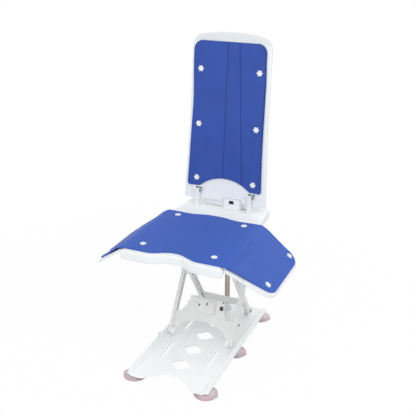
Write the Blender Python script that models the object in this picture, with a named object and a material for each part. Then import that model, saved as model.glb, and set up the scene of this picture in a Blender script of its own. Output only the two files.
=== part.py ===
# Floor recovery chair: a scissor lift on six suction cups carries a seat with two side flaps and
# a backrest that folds forward. Metres, +Z up, front towards -Y, origin on the floor under the lift.
# Left is -X, as seen from the front. Each body is modelled flat, in the frame of its own joint.
import math

import bmesh
import bpy
from mathutils import Matrix, Vector

for old in list(bpy.data.objects):
    bpy.data.objects.remove(old, do_unlink=True)

SIDES = {"left": -1, "right": 1}

# Fits
GAP = 0.0003                     # between pieces that touch
PIN_PLAY = 0.0003                # between a pin and its hole, all round

# Scissor
ARM_LENGTH = 0.4635              # between the end pivots
RAISED_ANGLE = math.radians(56.6)
FIXED_PIVOT_Y = 0.245
LOWER_PIVOT_Z = 0.038
INNER_ARM_X = 0.0935
OUTER_ARM_X = 0.124
ARM_WIDTH = 0.014
ARM_DEPTH = 0.024
ARM_END_RADIUS = 0.0115
PIVOT_PIN_RADIUS = 0.005
PIN_HEAD_RADIUS = 0.0075
PIN_HEAD_THICKNESS = 0.003
CROSS_BAR_RADIUS = 0.008
INNER_BAR_INSET = 0.0435         # cross bars, along the arm from its upper pivot
OUTER_BAR_INSET = 0.0635
POCKET_COUNT = 5                 # pockets in the inner side of each half of an arm
POCKET_DEPTH = 0.004
POCKET_FLANGE = 0.0034
POCKET_RIB = 0.005
POCKET_END = 0.019               # from a pivot to the nearest pocket
GLIDE_WIDTH = 0.012
UPPER_GLIDE_RADIUS = 0.0164
CROSS_PLATE_FROM = 0.030         # lower plate of the inner frame, along the arm
CROSS_PLATE_TO = 0.083
CROSS_PLATE_THICKNESS = 0.005
PANEL_FROM = 0.019               # arched panel of the outer frame, along the arm
PANEL_CREASE = 0.080
PANEL_NECK = 0.118
PANEL_TOP = 0.147
PANEL_SHOULDER = 0.087           # half widths
PANEL_HEAD_WIDTH = 0.070
PANEL_THICKNESS = 0.005
PANEL_FRONT = 0.009              # height of the panel's face over the arms' centre line
ARCH_HALF_WIDTH = 0.092
ARCH_APEX = 0.0575
ARCH_STEPS = 12
PIVOT_BOSS_RADIUS = 0.010
PANEL_HOLE_X = 0.0585
PANEL_HOLE_AT = 0.1185
PANEL_HOLE_WIDTH = 0.014
PANEL_HOLE_HEIGHT = 0.015
DRIVE_COVER_HALF_WIDTH = 0.037
DRIVE_COVER_FROM = 0.088
DRIVE_COVER_TO = 0.141
DRIVE_COVER_HEIGHT = 0.008
DRIVE_COVER_ROUND = 0.006

# Base
PLATE_TOP = 0.0205
PLATE_THICKNESS = 0.0045
RAIL_WALL = 0.003
RAIL_FOOT_Z = 0.0185
RAIL_RIDGE_Z = 0.039
RAIL_END_Z = 0.026               # the rails slope down to this height at both ends
RAIL_RIDGE_WIDTH = 0.006
RAIL_ROUND = 0.0025
RAIL_RAMP = 0.045                # length of the slope at each rail end
RAIL_INNER_X = 0.1335
RAIL_RIDGE_X = 0.148
RAIL_OUTER_X = 0.156
BASE_FRONT_Y = -0.305
BASE_REAR_Y = 0.303
BASE_CORNER_RADIUS = 0.018
BASE_ARCH_TOP_X = 0.035          # the wave in the front edge
BASE_ARCH_FOOT_X = 0.096
BASE_ARCH_Y = -0.246
BASE_ARCH_RADIUS = 0.075
BASE_ARCH_FOOT_RADIUS = 0.033
DIAMOND_HALF_X = 0.040
DIAMOND_HALF_Y = 0.036
DIAMOND_RADIUS = 0.006
DIAMOND_FIRST_Y = -0.178
DIAMOND_PITCH = 0.104
DIAMOND_COUNT = 4
SLOT_X = 0.089
SLOT_WIDTH = 0.011
SLOT_LENGTH = 0.117
SLOT_ROUND = 0.005
SLOT_CENTRES_Y = (-0.106, 0.101)
LUG_THICKNESS = 0.005
LUG_HALF_LENGTH = 0.016
LUG_ROUND = 0.011
LUG_OVER_PIN = 0.012

# Suction cups
CUP_X = 0.1366
CUP_PITCH_Y = 0.272
CUP_RADIUS = 0.042
CUP_RIM = 0.003                  # height and width of the rim that lies on the floor
CUP_WALL = 0.004
CUP_NECK_RADIUS = 0.012
CUP_SHOULDER_RADIUS = 0.019
CUP_SKIRT_RADIUS = 0.0315
CUP_SKIRT_Z = 0.0085
CUP_STEM_RADIUS = 0.005
CUP_STEM_COVER = 0.002           # plate left over the top of a stem
CUP_SEAT_RADIUS = 0.016
CUP_SEAT_DROP = 0.001            # the seats stand this far below the plate
CUP_TAB_LENGTH = 0.008
CUP_TAB_WIDTH = 0.014
CUP_TAB_ROUND = 0.0045
CUP_TAB_THICKNESS = 0.0025

# Lift column
COLUMN_Y = 0.2575
COLUMN_RADIUS = 0.010
COLUMN_WALL = 0.0015
COLUMN_TOP_Z = 0.432
COLUMN_RUN = 0.001               # running clearance of the housing on the column
COLUMN_CAP_HEIGHT = 0.006
COLUMN_SPIGOT = 0.012
FOOT_FLANGE_RADIUS = 0.021
FOOT_FLANGE_THICKNESS = 0.005
FOOT_COLLAR_RADIUS = 0.0145
FOOT_HEIGHT = 0.026
FOOT_FLOOR = 0.003

# Seat, heights from the top of the tray
TRAY_OVER_PIVOT = 0.051
TRAY_FRONT_Y = -0.2565
TRAY_RECESS = 0.026              # depth of the wave at the middle of the front
RECESS_NARROW_X = 0.030
RECESS_WIDE_X = 0.077
RECESS_RADIUS = 0.055
TRAY_SIDE_X = 0.1773
TRAY_SHOULDER_Y = 0.122
LEDGE_NECK_X = 0.166
LEDGE_NECK_Y = 0.217
LEDGE_REAR_X = 0.160
LEDGE_REAR_Y = 0.295
TRAY_CORNER_RADIUS = 0.011
TRAY_DEPTH = 0.034
TRAY_WING_X = 0.1865             # the lip reaches out in front of the folds
TRAY_WING_DEPTH = 0.0075
TRAY_WING_ROUND = 0.009
TRAY_WING_NOSE = 0.007
TRAY_NOSE = 0.008                # rounding of the lip
TRAY_WALL = 0.006
TRAY_LIP_ROUND = 0.0045
TRAY_TOP_THICKNESS = 0.005
TRACK_REAR_Y = 0.006
TRACK_FRONT_Y = -0.236
COVER_THICKNESS = 0.0037
COVER_EDGE = 0.0012              # rounding of a cover's edge
EDGE_STEPS = 2                   # facets of a moulded edge
COVER_FRONT_Y = -0.238
COVER_REAR_Y = 0.113
COVER_REAR_BULGE = 0.013
BULGE_NARROW_X = 0.040
BULGE_WIDE_X = 0.090
FLEX_GROOVE_WIDTH = 0.0015
FLEX_GROOVE_DEPTH = 0.0012
FLEX_GROOVE_PITCH = 0.005
FLEX_GROOVE_COUNT = 3
SEAT_BUTTON_X = 0.131
SEAT_BUTTONS_Y = (-0.189, 0.083)

# Ears and backrest
HINGE_Y = 0.209
HINGE_OVER_TRAY = 0.067
BACK_TILT = math.radians(6.19)
EAR_X = 0.1055
EAR_WIDTH = 0.015
EAR_RADIUS = 0.009
EAR_ROUND = 0.008
EAR_FOOT_HALF = 0.015            # half depth of the foot
EAR_PLAY = 0.0012
HINGE_PIN_RADIUS = 0.004
HINGE_BOSS_RADIUS = 0.008
HINGE_BOSS_WIDTH = 0.009
EAR_SLOT_OVER_PIN = 0.0125
BACK_FACE = -0.0006              # face of the cover, from the hinge axis
SHELL_BOTTOM = -0.038            # heights along the backrest, from the hinge axis
SHELL_MIDDLE_BOTTOM = -0.033     # between the ears
SHELL_NOTCH_TOP = -0.019         # over the neck of the drive housing
SHELL_NOTCH_HALF = 0.041
SHELL_TOP = 0.5877
SHELL_CROWN_RISE = 0.0167        # climb of the top edge from each shoulder
SHELL_WAIST = 0.250
SHELL_BOTTOM_X = 0.165
SHELL_WAIST_X = 0.154
SHELL_TOP_X = 0.152
SHELL_CROWN_X = 0.060
SHELL_TOP_RADIUS = 0.045
SHELL_CROWN_RADIUS = 0.5
SHELL_BOTTOM_RADIUS = 0.0065
SHELL_DEPTH = 0.0135
SHELL_WALL = 0.0035
SHELL_SKIN = 0.0045
SHELL_NOSE = 0.006
SHELL_LIP_ROUND = 0.002
BACK_RIB_THICKNESS = 0.003
BACK_RIB_SET_BACK = 0.002        # from the rim of the shell
BACK_RIB_X = 0.060
BACK_RIBS = (0.110, 0.250, 0.375, 0.495)
BACK_COVER_BOTTOM = 0.0147
BACK_COVER_TOP_INSET = 0.033     # below the top of the shell
BACK_COVER_BOTTOM_X = 0.147
BACK_COVER_WAIST_X = 0.1405
BACK_COVER_TOP_X = 0.139
BACK_COVER_TOP_RADIUS = 0.034
BACK_COVER_BOTTOM_RADIUS = 0.010
BACK_ARCH_HALF_WIDTH = 0.100
BACK_ARCH_HEIGHT = 0.039
BACK_BUTTON_X = 0.113
BACK_BUTTONS = (0.0457, 0.2517, 0.4537)
BACK_GROOVES = ((-0.0085, -0.011), (0.070, 0.032))    # X of each long groove at the bottom and the top

# Flaps, sizes along the slope from the fold axis
FOLD_X = 0.1843
FOLD_UNDER_TRAY = 0.002
FOLD_RADIUS = 0.0057
FOLD_EDGE = 0.0063               # edge of the covers beside the fold
FOLD_FRONT_Y = -0.214
FOLD_REAR_Y = 0.104
HINGE_ROD_RADIUS = 0.002
HINGE_LUG_RADIUS = 0.0048
HINGE_LUG_WIDTH = 0.006
FLAP_DROOP = math.radians(36.7)
FLAP_START = 0.007
FLAP_COVER_SPAN = 0.177
FLAP_RIM = 0.010                 # plate showing beyond the cover at the front and side
FLAP_REAR_RIM = 0.003
FLAP_TIP_FRONT_Y = -0.1705
FLAP_REAR_Y = 0.1145
FLAP_FRONT_RADIUS = 0.047
FLAP_REAR_RADIUS = 0.040
FLAP_ROOT_RADIUS = 0.004
FLAP_THICKNESS = 0.0085
FLAP_WALL = 0.003
FLAP_TOP_THICKNESS = 0.0036
FLAP_NOSE = 0.0035
FLAP_LIP_ROUND = 0.002
FLAP_BUTTON_INSET = 0.034         # from the edge of the cover
FLAP_BUTTONS_Y = (-0.143, 0.088)

# Star buttons
STAR_RADIUS = 0.0103
STAR_VALLEY = 0.0072
STAR_HEIGHT = 0.0032
STAR_STEM_RADIUS = 0.003
STAR_STEM_LENGTH = 0.007

# Drive housing
HOUSING_HALF_WIDTH = 0.088
HOUSING_FRONT_Y = 0.236
HOUSING_REAR_Y = 0.289
HOUSING_HEIGHT = 0.024
HOUSING_ROUND = 0.005
HOUSING_CORNER = 0.0095
NECK_HALF_WIDTH = 0.036          # neck in front of the housing, which holds the socket
NECK_FRONT_Y = 0.2105
NECK_REAR_Y = 0.243
NECK_HEIGHT = 0.046
NECK_DRAFT = 0.004
SOCKET_X = 0.029
SOCKET_WIDTH = 0.019
SOCKET_HEIGHT = 0.013
SOCKET_DEPTH = 0.012
SOCKET_WALL = 0.002
SOCKET_OVER_TRAY = 0.0295


# Modelling helpers: shapes are bmeshes, outlines are lists of 2-D points that run counter-clockwise

NEARLY_FLAT = math.radians(0.01)
ALONG_X = Matrix.Rotation(math.radians(90), 4, "Y")
SIDE_VIEW = Matrix(((0, 0, 1, 0), (1, 0, 0, 0), (0, 1, 0, 0), (0, 0, 0, 1)))    # outline in Y and Z
FRONT_VIEW = Matrix(((1, 0, 0, 0), (0, 0, -1, 0), (0, 1, 0, 0), (0, 0, 0, 1)))   # outline in X and Z
ROUND_STEPS = 16                 # facets of pins, rods and cups
SMALL_STEPS = 12                 # facets of small holes


def rounded(corners, steps=5):
    # A polygon of (x, y, radius) corners with an arc at each corner
    points = []
    for index, (x, y, radius) in enumerate(corners):
        here = Vector((x, y))
        back = (Vector(corners[index - 1][:2]) - here).normalized()
        ahead = (Vector(corners[(index + 1) % len(corners)][:2]) - here).normalized()
        half = back.angle(ahead) / 2
        centre = here + (back + ahead).normalized() * radius / math.sin(half)
        start = here + back * radius / math.tan(half) - centre
        turn = math.copysign(math.pi - 2 * half, ahead.cross(back))
        for step in range(steps + 1):
            points.append(centre + Matrix.Rotation(turn * step / steps, 2) @ start)
    return points


def symmetric(half):
    # Corners of the +X half, front to rear, and their mirror images
    return half + [(-x, y, radius) for x, y, radius in reversed(half)]


def rectangle(low_x, high_x, low_y, high_y, radius):
    corners = [(low_x, low_y), (high_x, low_y), (high_x, high_y), (low_x, high_y)]
    return [(x, y, radius) for x, y in corners]


def inset(outline, depth):
    moved_points = []
    for index, point in enumerate(outline):
        back = (point - outline[index - 1]).normalized()
        ahead = (outline[(index + 1) % len(outline)] - point).normalized()
        normal = Vector((-back.y - ahead.y, back.x + ahead.x)).normalized()
        moved_points.append(point + normal * depth / normal.dot(Vector((-back.y, back.x))))
    return moved_points


def circle(radius, segments):
    angles = [math.tau * index / segments for index in range(segments)]
    return [Vector((radius * math.cos(angle), radius * math.sin(angle))) for angle in angles]


def lofted(loops, ring=False):
    # Faces between equal loops of points, closed by end faces or, as a ring, by the first loop
    shape = bmesh.new()
    rows = [[shape.verts.new(point) for point in loop] for loop in loops]
    pairs = list(zip(rows, rows[1:] + rows[:1])) if ring else list(zip(rows, rows[1:]))
    for row, following in pairs:
        for index in range(len(row)):
            after = (index + 1) % len(row)
            shape.faces.new((row[index], row[after], following[after], following[index]))
    if not ring:
        shape.faces.new(rows[0])
        shape.faces.new(rows[-1])
    bmesh.ops.connect_verts_nonplanar(shape, angle_limit=NEARLY_FLAT, faces=shape.faces)
    bmesh.ops.recalc_face_normals(shape, faces=shape.faces)
    return shape


def moulded(outline, profile):
    # Loops of one outline at each (inset, height) of the profile
    return lofted([[(p.x, p.y, height) for p in inset(outline, depth)] for depth, height in profile])


def prism(outline, low, high):
    return moulded(outline, [(0, low), (0, high)])


def turned(profile, segments, ring=False):
    # Profile of (radius, height) round Z
    loops = [[(p.x, p.y, height) for p in circle(radius, segments)] for radius, height in profile]
    return lofted(loops, ring)


def moved(shape, matrix):
    bmesh.ops.transform(shape, matrix=matrix, verts=shape.verts)
    return shape


def shifted(shape, x=0, y=0, z=0):
    return moved(shape, Matrix.Translation((x, y, z)))


def block(low_x, high_x, low_y, high_y, low_z, high_z):
    corners = [(low_x, low_y), (high_x, low_y), (high_x, high_y), (low_x, high_y)]
    return prism([Vector(corner) for corner in corners], low_z, high_z)


def side_prism(outline, x_range):
    # Outline in Y and Z, thickness along X
    return moved(prism(outline, min(x_range), max(x_range)), SIDE_VIEW)


def cross_rod(radius, x_range, y, z):
    rod = turned([(radius, min(x_range)), (radius, max(x_range))], SMALL_STEPS)
    return shifted(moved(rod, ALONG_X), y=y, z=z)


def joined(shapes):
    total = bmesh.new()
    for shape in shapes:
        mesh = bpy.data.meshes.new("shape")
        shape.to_mesh(mesh)
        shape.free()
        total.from_mesh(mesh)
        bpy.data.meshes.remove(mesh)
    return total


def boolean(operation, target, tools):
    holders = []
    for shape in (target, joined(tools)):
        mesh = bpy.data.meshes.new("shape")
        shape.to_mesh(mesh)
        shape.free()
        holders.append(bpy.data.objects.new("shape", mesh))
        bpy.context.scene.collection.objects.link(holders[-1])
    modifier = holders[0].modifiers.new("boolean", "BOOLEAN")
    modifier.operation = operation
    modifier.solver = "EXACT"
    modifier.object = holders[1]
    result = bmesh.new()
    result.from_object(holders[0], bpy.context.evaluated_depsgraph_get())
    for holder in holders:
        mesh = holder.data
        bpy.data.objects.remove(holder)
        bpy.data.meshes.remove(mesh)
    return result


def fused(target, *tools):
    return boolean("UNION", target, tools)


def cut(target, *tools):
    return boolean("DIFFERENCE", target, tools)


def material(name, colour, roughness, metallic=0.0):
    made = bpy.data.materials.new(name)
    made.use_nodes = True
    shader = made.node_tree.nodes["Principled BSDF"]
    shader.inputs["Base Color"].default_value = (*colour, 1)
    shader.inputs["Roughness"].default_value = roughness
    shader.inputs["Metallic"].default_value = metallic
    made.diffuse_color = (*colour, 1)
    return made


def linked(name, data, parent):
    item = bpy.data.objects.new(name, data)
    bpy.context.scene.collection.objects.link(item)
    item.parent = parent
    return item


def joint(name, parent, location, rotation=(0, 0, 0)):
    empty = linked(name, None, parent)
    empty.location = location
    empty.rotation_euler = rotation
    return empty


def finished(name, shape, parent, finish):
    mesh = bpy.data.meshes.new(name)
    shape.to_mesh(mesh)
    shape.free()
    mesh.shade_smooth()
    mesh.set_sharp_from_angle(angle=math.radians(30))
    mesh.materials.append(finish)
    return linked(name, mesh, parent)


WHITE = material("white_plastic", (0.80, 0.83, 0.85), 0.38)
BASE_WHITE = material("base_plastic", (0.78, 0.83, 0.82), 0.42)
FRAME_GREY = material("frame_plastic", (0.62, 0.62, 0.60), 0.45)
SEAT_BLUE = material("blue_cover", (0.055, 0.115, 0.47), 0.55)
CUP_PINK = material("cup_rubber", (0.46, 0.33, 0.35), 0.35)
STEEL = material("steel", (0.56, 0.53, 0.50), 0.25, 1.0)
DARK = material("socket_plastic", (0.055, 0.040, 0.030), 0.50)


# Joints: each empty stands on the axis of its body, and each body hangs on the one before it

base = joint("base", None, (0, 0, 0))
inner = joint("inner_frame_joint", base, (0, FIXED_PIVOT_Y, LOWER_PIVOT_Z), (-RAISED_ANGLE, 0, 0))
outer = joint("outer_frame_joint", inner, (0, -ARM_LENGTH / 2, 0), (2 * RAISED_ANGLE, 0, 0))
seat_joint = joint("seat_joint", outer, (0, ARM_LENGTH / 2, 0), (-RAISED_ANGLE, 0, 0))
seat = joint("seat_datum", seat_joint, (0, -FIXED_PIVOT_Y, TRAY_OVER_PIVOT))
backrest_turn = (math.radians(90) - BACK_TILT, 0, 0)
backrest = joint("backrest_joint", seat, (0, HINGE_Y, HINGE_OVER_TRAY), backrest_turn)
flaps = {}
for name, side in SIDES.items():
    fold_place = (side * FOLD_X, 0, -FOLD_UNDER_TRAY)
    flaps[name] = joint(f"flap_{name}_joint", seat, fold_place, (0, side * FLAP_DROOP, 0))


# Parts that repeat

def headed_pin(radius, head_radius, x_range, y, z):
    # Pin along X with a head at each end, outside the given range
    low = min(x_range) - GAP
    high = max(x_range) + GAP
    ends = [(head_radius, low - PIN_HEAD_THICKNESS), (head_radius, low), (radius, low)]
    profile = ends + [(r, low + high - height) for r, height in reversed(ends)]
    return shifted(moved(turned(profile, SMALL_STEPS), ALONG_X), y=y, z=z)


def pivot_lugs(side, arm_x, y, pin_z, mount_z):
    # Two lugs that hold a pivot pin on both sides of an arm
    toward = math.copysign(1, pin_z - mount_z)
    far_z = pin_z + toward * LUG_OVER_PIN
    corners = rectangle(y - LUG_HALF_LENGTH, y + LUG_HALF_LENGTH, *sorted((far_z, mount_z)), GAP)
    rounding = [LUG_ROUND if abs(corner[1] - far_z) < GAP else GAP for corner in corners]
    outline = rounded([(a, b, r) for (a, b, _), r in zip(corners, rounding)], 3)
    near = ARM_WIDTH / 2 + GAP
    lugs = []
    for away in (-1, 1):
        x_range = [side * (arm_x + away * distance) for distance in (near, near + LUG_THICKNESS)]
        lugs.append(side_prism(outline, x_range))
    return lugs


def lug_span(side, arm_x):
    reach = ARM_WIDTH / 2 + GAP + LUG_THICKNESS
    return side * (arm_x - reach), side * (arm_x + reach)


def pin_hole(radius, x_range, y, z):
    return cross_rod(radius + PIN_PLAY, x_range, y, z)


def star_button(name, parent, x, y, face):
    # Six-pointed head on a cover, its stem pressed down through the cover
    star = [point * (STAR_VALLEY / STAR_RADIUS if index % 2 else 1)
            for index, point in enumerate(circle(STAR_RADIUS, SMALL_STEPS))]
    stem = circle(STAR_STEM_RADIUS, SMALL_STEPS)
    low = face + GAP
    crown = STAR_HEIGHT / 3
    inner_star = [point * (1 - crown / STAR_RADIUS) for point in star]
    loops = [(stem, face - STAR_STEM_LENGTH), (stem, low), (star, low),
             (star, low + STAR_HEIGHT - crown), (inner_star, low + STAR_HEIGHT)]
    head = lofted([[(point.x, point.y, height) for point in loop] for loop, height in loops])
    finished(name, shifted(head, x, y), parent, WHITE)


def stem_hole(x, y, face):
    radius = STAR_STEM_RADIUS + PIN_PLAY
    hole = turned([(radius, face - STAR_STEM_LENGTH - GAP), (radius, face + STAR_HEIGHT)], SMALL_STEPS)
    return shifted(hole, x, y)


# Base

def rail_section(y):
    # Section through plate and rails: a flat plate that turns up into a hollow rail at each side
    climb = min(1, max(0, (y - BASE_FRONT_Y) / RAIL_RAMP), max(0, (BASE_REAR_Y - y) / RAIL_RAMP))
    ridge_z = RAIL_END_Z + (RAIL_RIDGE_Z - RAIL_END_Z) * climb
    half_ridge = RAIL_RIDGE_WIDTH / 2
    small = RAIL_WALL / 4
    half = [(RAIL_INNER_X + RAIL_WALL, PLATE_TOP - PLATE_THICKNESS, small),
            (RAIL_RIDGE_X - half_ridge + RAIL_WALL / 2, ridge_z - RAIL_WALL, small),
            (RAIL_RIDGE_X + half_ridge - RAIL_WALL / 2, ridge_z - RAIL_WALL, small),
            (RAIL_OUTER_X - RAIL_WALL, RAIL_FOOT_Z, small),
            (RAIL_OUTER_X, RAIL_FOOT_Z, small),
            (RAIL_RIDGE_X + half_ridge, ridge_z, RAIL_ROUND),
            (RAIL_RIDGE_X - half_ridge, ridge_z, RAIL_ROUND),
            (RAIL_INNER_X, PLATE_TOP, RAIL_ROUND)]
    return [(point.x, y, point.y) for point in rounded(symmetric(half), 2)]


def base_outline():
    side_x = RAIL_OUTER_X + RAIL_WALL
    half = [(BASE_ARCH_TOP_X, BASE_ARCH_Y, BASE_ARCH_RADIUS),
            (BASE_ARCH_FOOT_X, BASE_FRONT_Y, BASE_ARCH_FOOT_RADIUS),
            (side_x, BASE_FRONT_Y, BASE_CORNER_RADIUS),
            (side_x, BASE_REAR_Y, BASE_CORNER_RADIUS)]
    return rounded(symmetric(half), 5)


def base_windows():
    windows = []
    top = PLATE_TOP + RAIL_WALL
    for index in range(DIAMOND_COUNT):
        y = DIAMOND_FIRST_Y + index * DIAMOND_PITCH
        front, rear = (0, y - DIAMOND_HALF_Y), (0, y + DIAMOND_HALF_Y)
        corners = [front, (DIAMOND_HALF_X, y), rear, (-DIAMOND_HALF_X, y)]
        outline = rounded([(a, b, DIAMOND_RADIUS) for a, b in corners], 2)
        windows.append(prism(outline, 0, top))
    for side in SIDES.values():
        for y in SLOT_CENTRES_Y:
            middle = side * SLOT_X
            corners = rectangle(middle - SLOT_WIDTH / 2, middle + SLOT_WIDTH / 2,
                                y - SLOT_LENGTH / 2, y + SLOT_LENGTH / 2, SLOT_ROUND)
            windows.append(prism(rounded(corners, 2), 0, top))
    return windows


CUP_TOP_Z = PLATE_TOP - PLATE_THICKNESS - CUP_SEAT_DROP - GAP
CUP_STEM_TOP_Z = PLATE_TOP - CUP_STEM_COVER
CUP_PLACES = [(f"{row}_{name}", side * CUP_X, y, side)
              for row, y in (("front", -CUP_PITCH_Y), ("middle", 0), ("rear", CUP_PITCH_Y))
              for name, side in SIDES.items()]


def make_base_plate():
    overrun = RAIL_WALL
    stations = [BASE_FRONT_Y - overrun, BASE_FRONT_Y, BASE_FRONT_Y + RAIL_RAMP,
                BASE_REAR_Y - RAIL_RAMP, BASE_REAR_Y, BASE_REAR_Y + overrun]
    plate = lofted([rail_section(y) for y in stations])
    plate = boolean("INTERSECT", plate, [prism(base_outline(), 0, RAIL_RIDGE_Z * 2)])
    cup_low = CUP_TOP_Z + GAP
    seat_profile = [(CUP_SEAT_RADIUS, cup_low), (CUP_SEAT_RADIUS, PLATE_TOP - GAP)]
    seats = [shifted(turned(seat_profile, ROUND_STEPS), x, y) for _, x, y, _ in CUP_PLACES]
    plate = fused(plate, *seats)
    lugs = []
    lug_foot = PLATE_TOP - PLATE_THICKNESS / 2
    for side in SIDES.values():
        lugs += pivot_lugs(side, INNER_ARM_X, FIXED_PIVOT_Y, LOWER_PIVOT_Z, lug_foot)
    plate = fused(plate, *lugs)
    stem_radius = CUP_STEM_RADIUS + PIN_PLAY
    stem_profile = [(stem_radius, 0), (stem_radius, CUP_STEM_TOP_Z + GAP)]
    holes = [shifted(turned(stem_profile, SMALL_STEPS), x, y) for _, x, y, _ in CUP_PLACES]
    for side in SIDES.values():
        span = [x * 2 - side * INNER_ARM_X for x in lug_span(side, INNER_ARM_X)]
        holes.append(pin_hole(PIVOT_PIN_RADIUS, span, FIXED_PIVOT_Y, LOWER_PIVOT_Z))
    finished("base_plate", cut(plate, *base_windows(), *holes), base, BASE_WHITE)


def make_cup(name, x, y, side):
    # Shallow dome, hollow below, with a stem up through the plate and a pull tab at its outer edge
    inside = CUP_RADIUS - CUP_RIM
    profile = [(CUP_STEM_RADIUS, CUP_STEM_TOP_Z), (CUP_STEM_RADIUS, CUP_TOP_Z), (CUP_NECK_RADIUS, CUP_TOP_Z),
               (CUP_SHOULDER_RADIUS, CUP_TOP_Z - CUP_WALL / 2), (CUP_SKIRT_RADIUS, CUP_SKIRT_Z),
               (CUP_RADIUS - CUP_RIM / 2, CUP_RIM), (CUP_RADIUS, CUP_RIM / 2), (CUP_RADIUS - CUP_RIM / 2, 0),
               (inside, 0), (CUP_SKIRT_RADIUS, CUP_SKIRT_Z - CUP_WALL),
               (CUP_STEM_RADIUS, CUP_TOP_Z - CUP_WALL)]
    reach = CUP_RADIUS + CUP_TAB_LENGTH
    corners = rectangle(inside, reach, -CUP_TAB_WIDTH / 2, CUP_TAB_WIDTH / 2, CUP_TAB_ROUND)
    low = CUP_RIM / 4 + GAP
    tab = prism(rounded(corners, 2), low, low + CUP_TAB_THICKNESS)
    tab = moved(tab, Matrix.Rotation(0 if side > 0 else math.pi, 4, "Z"))
    cup = fused(turned(profile, ROUND_STEPS), tab)
    finished(f"suction_cup_{name}", shifted(cup, x, y), base, CUP_PINK)


def make_column():
    foot_z = PLATE_TOP + GAP
    flange_z = foot_z + FOOT_FLANGE_THICKNESS
    collar_z = foot_z + FOOT_HEIGHT
    tube_low = foot_z + FOOT_FLOOR + GAP
    bore = COLUMN_RADIUS + GAP
    foot = [(FOOT_FLANGE_RADIUS, foot_z), (FOOT_FLANGE_RADIUS, flange_z), (FOOT_COLLAR_RADIUS, flange_z),
            (FOOT_COLLAR_RADIUS, collar_z), (bore, collar_z), (bore, foot_z + FOOT_FLOOR)]
    finished("column_foot", shifted(turned(foot, ROUND_STEPS), y=COLUMN_Y), base, WHITE)
    inside = COLUMN_RADIUS - COLUMN_WALL
    tube = [(COLUMN_RADIUS, tube_low), (COLUMN_RADIUS, COLUMN_TOP_Z),
            (inside, COLUMN_TOP_Z), (inside, tube_low)]
    finished("lift_column", shifted(turned(tube, ROUND_STEPS, ring=True), y=COLUMN_Y), base, STEEL)
    cap_z = COLUMN_TOP_Z + GAP
    cap_top = cap_z + COLUMN_CAP_HEIGHT
    crown = COLUMN_CAP_HEIGHT / 3
    spigot = inside - GAP
    cap = [(spigot, COLUMN_TOP_Z - COLUMN_SPIGOT), (spigot, cap_z), (COLUMN_RADIUS, cap_z),
           (COLUMN_RADIUS, cap_top - crown), (COLUMN_RADIUS - crown, cap_top)]
    finished("column_cap", shifted(turned(cap, ROUND_STEPS), y=COLUMN_Y), base, WHITE)


make_base_plate()
for cup_place in CUP_PLACES:
    make_cup(*cup_place)
make_column()
for name, side in SIDES.items():
    pin_span = lug_span(side, INNER_ARM_X)
    lower_pin = headed_pin(PIVOT_PIN_RADIUS, PIN_HEAD_RADIUS, pin_span, FIXED_PIVOT_Y, LOWER_PIVOT_Z)
    finished(f"lower_pivot_pin_{name}", lower_pin, base, STEEL)


# Scissor frames: both are modelled lying flat, front towards -Y

def arm_pockets(x, low_y, high_y):
    # A row of pockets in the inner side of each half of an arm, with a rib between neighbours
    side = math.copysign(1, x)
    face = x - side * ARM_WIDTH / 2
    edges = sorted((face - side * POCKET_DEPTH, face + side * POCKET_DEPTH))
    half_height = ARM_DEPTH / 2 - POCKET_FLANGE
    half_arm = (high_y - low_y) / 2
    pitch = (half_arm - 2 * POCKET_END + POCKET_RIB) / POCKET_COUNT
    pockets = []
    for start in (low_y + POCKET_END, low_y + half_arm + POCKET_END):
        for index in range(POCKET_COUNT):
            y = start + index * pitch
            pockets.append(block(*edges, y, y + pitch - POCKET_RIB, -half_height, half_height))
    return pockets


def arm(x, low_y, high_y):
    reach = ARM_DEPTH / 2
    outline = rounded(rectangle(low_y - reach, high_y + reach, -reach, reach, ARM_END_RADIUS), 4)
    bar = side_prism(outline, (x - ARM_WIDTH / 2, x + ARM_WIDTH / 2))
    return cut(bar, *arm_pockets(x, low_y, high_y))


def glide(name, parent, side, arm_x, y, radius):
    # Round shoe on the inner side of an arm's end, its stub pressed into the arm
    edge = GLIDE_WIDTH / 6
    profile = [(radius - edge, 0), (radius, edge), (radius, GLIDE_WIDTH - edge), (radius - edge, GLIDE_WIDTH),
               (PIVOT_PIN_RADIUS, GLIDE_WIDTH), (PIVOT_PIN_RADIUS, GLIDE_WIDTH + GAP + ARM_WIDTH)]
    inner_face = arm_x - ARM_WIDTH / 2 - GAP - GLIDE_WIDTH
    shoe = shifted(moved(turned(profile, ROUND_STEPS), ALONG_X), x=inner_face)
    shoe = moved(shoe, Matrix.Rotation(0 if side > 0 else math.pi, 4, "Z"))
    finished(f"{name}_glide", shifted(shoe, y=y), parent, WHITE)


def arm_holes(arm_x, places):
    inside = INNER_ARM_X - ARM_WIDTH
    spans = [(side * inside, side * (arm_x + ARM_WIDTH)) for side in SIDES.values()]
    return [pin_hole(PIVOT_PIN_RADIUS, span, y, 0) for span in spans for y in places]


def make_inner_frame():
    half = CROSS_PLATE_THICKNESS / 2
    frame = block(-INNER_ARM_X, INNER_ARM_X, -CROSS_PLATE_TO, -CROSS_PLATE_FROM, -half, half)
    frame = fused(frame, *[arm(side * INNER_ARM_X, -ARM_LENGTH, 0) for side in SIDES.values()])
    bar_y = INNER_BAR_INSET - ARM_LENGTH
    frame = fused(frame, cross_rod(CROSS_BAR_RADIUS, (-INNER_ARM_X, INNER_ARM_X), bar_y, 0))
    frame = cut(frame, *arm_holes(INNER_ARM_X, (0, -ARM_LENGTH / 2, -ARM_LENGTH)))
    finished("inner_frame", frame, inner, FRAME_GREY)


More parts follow.
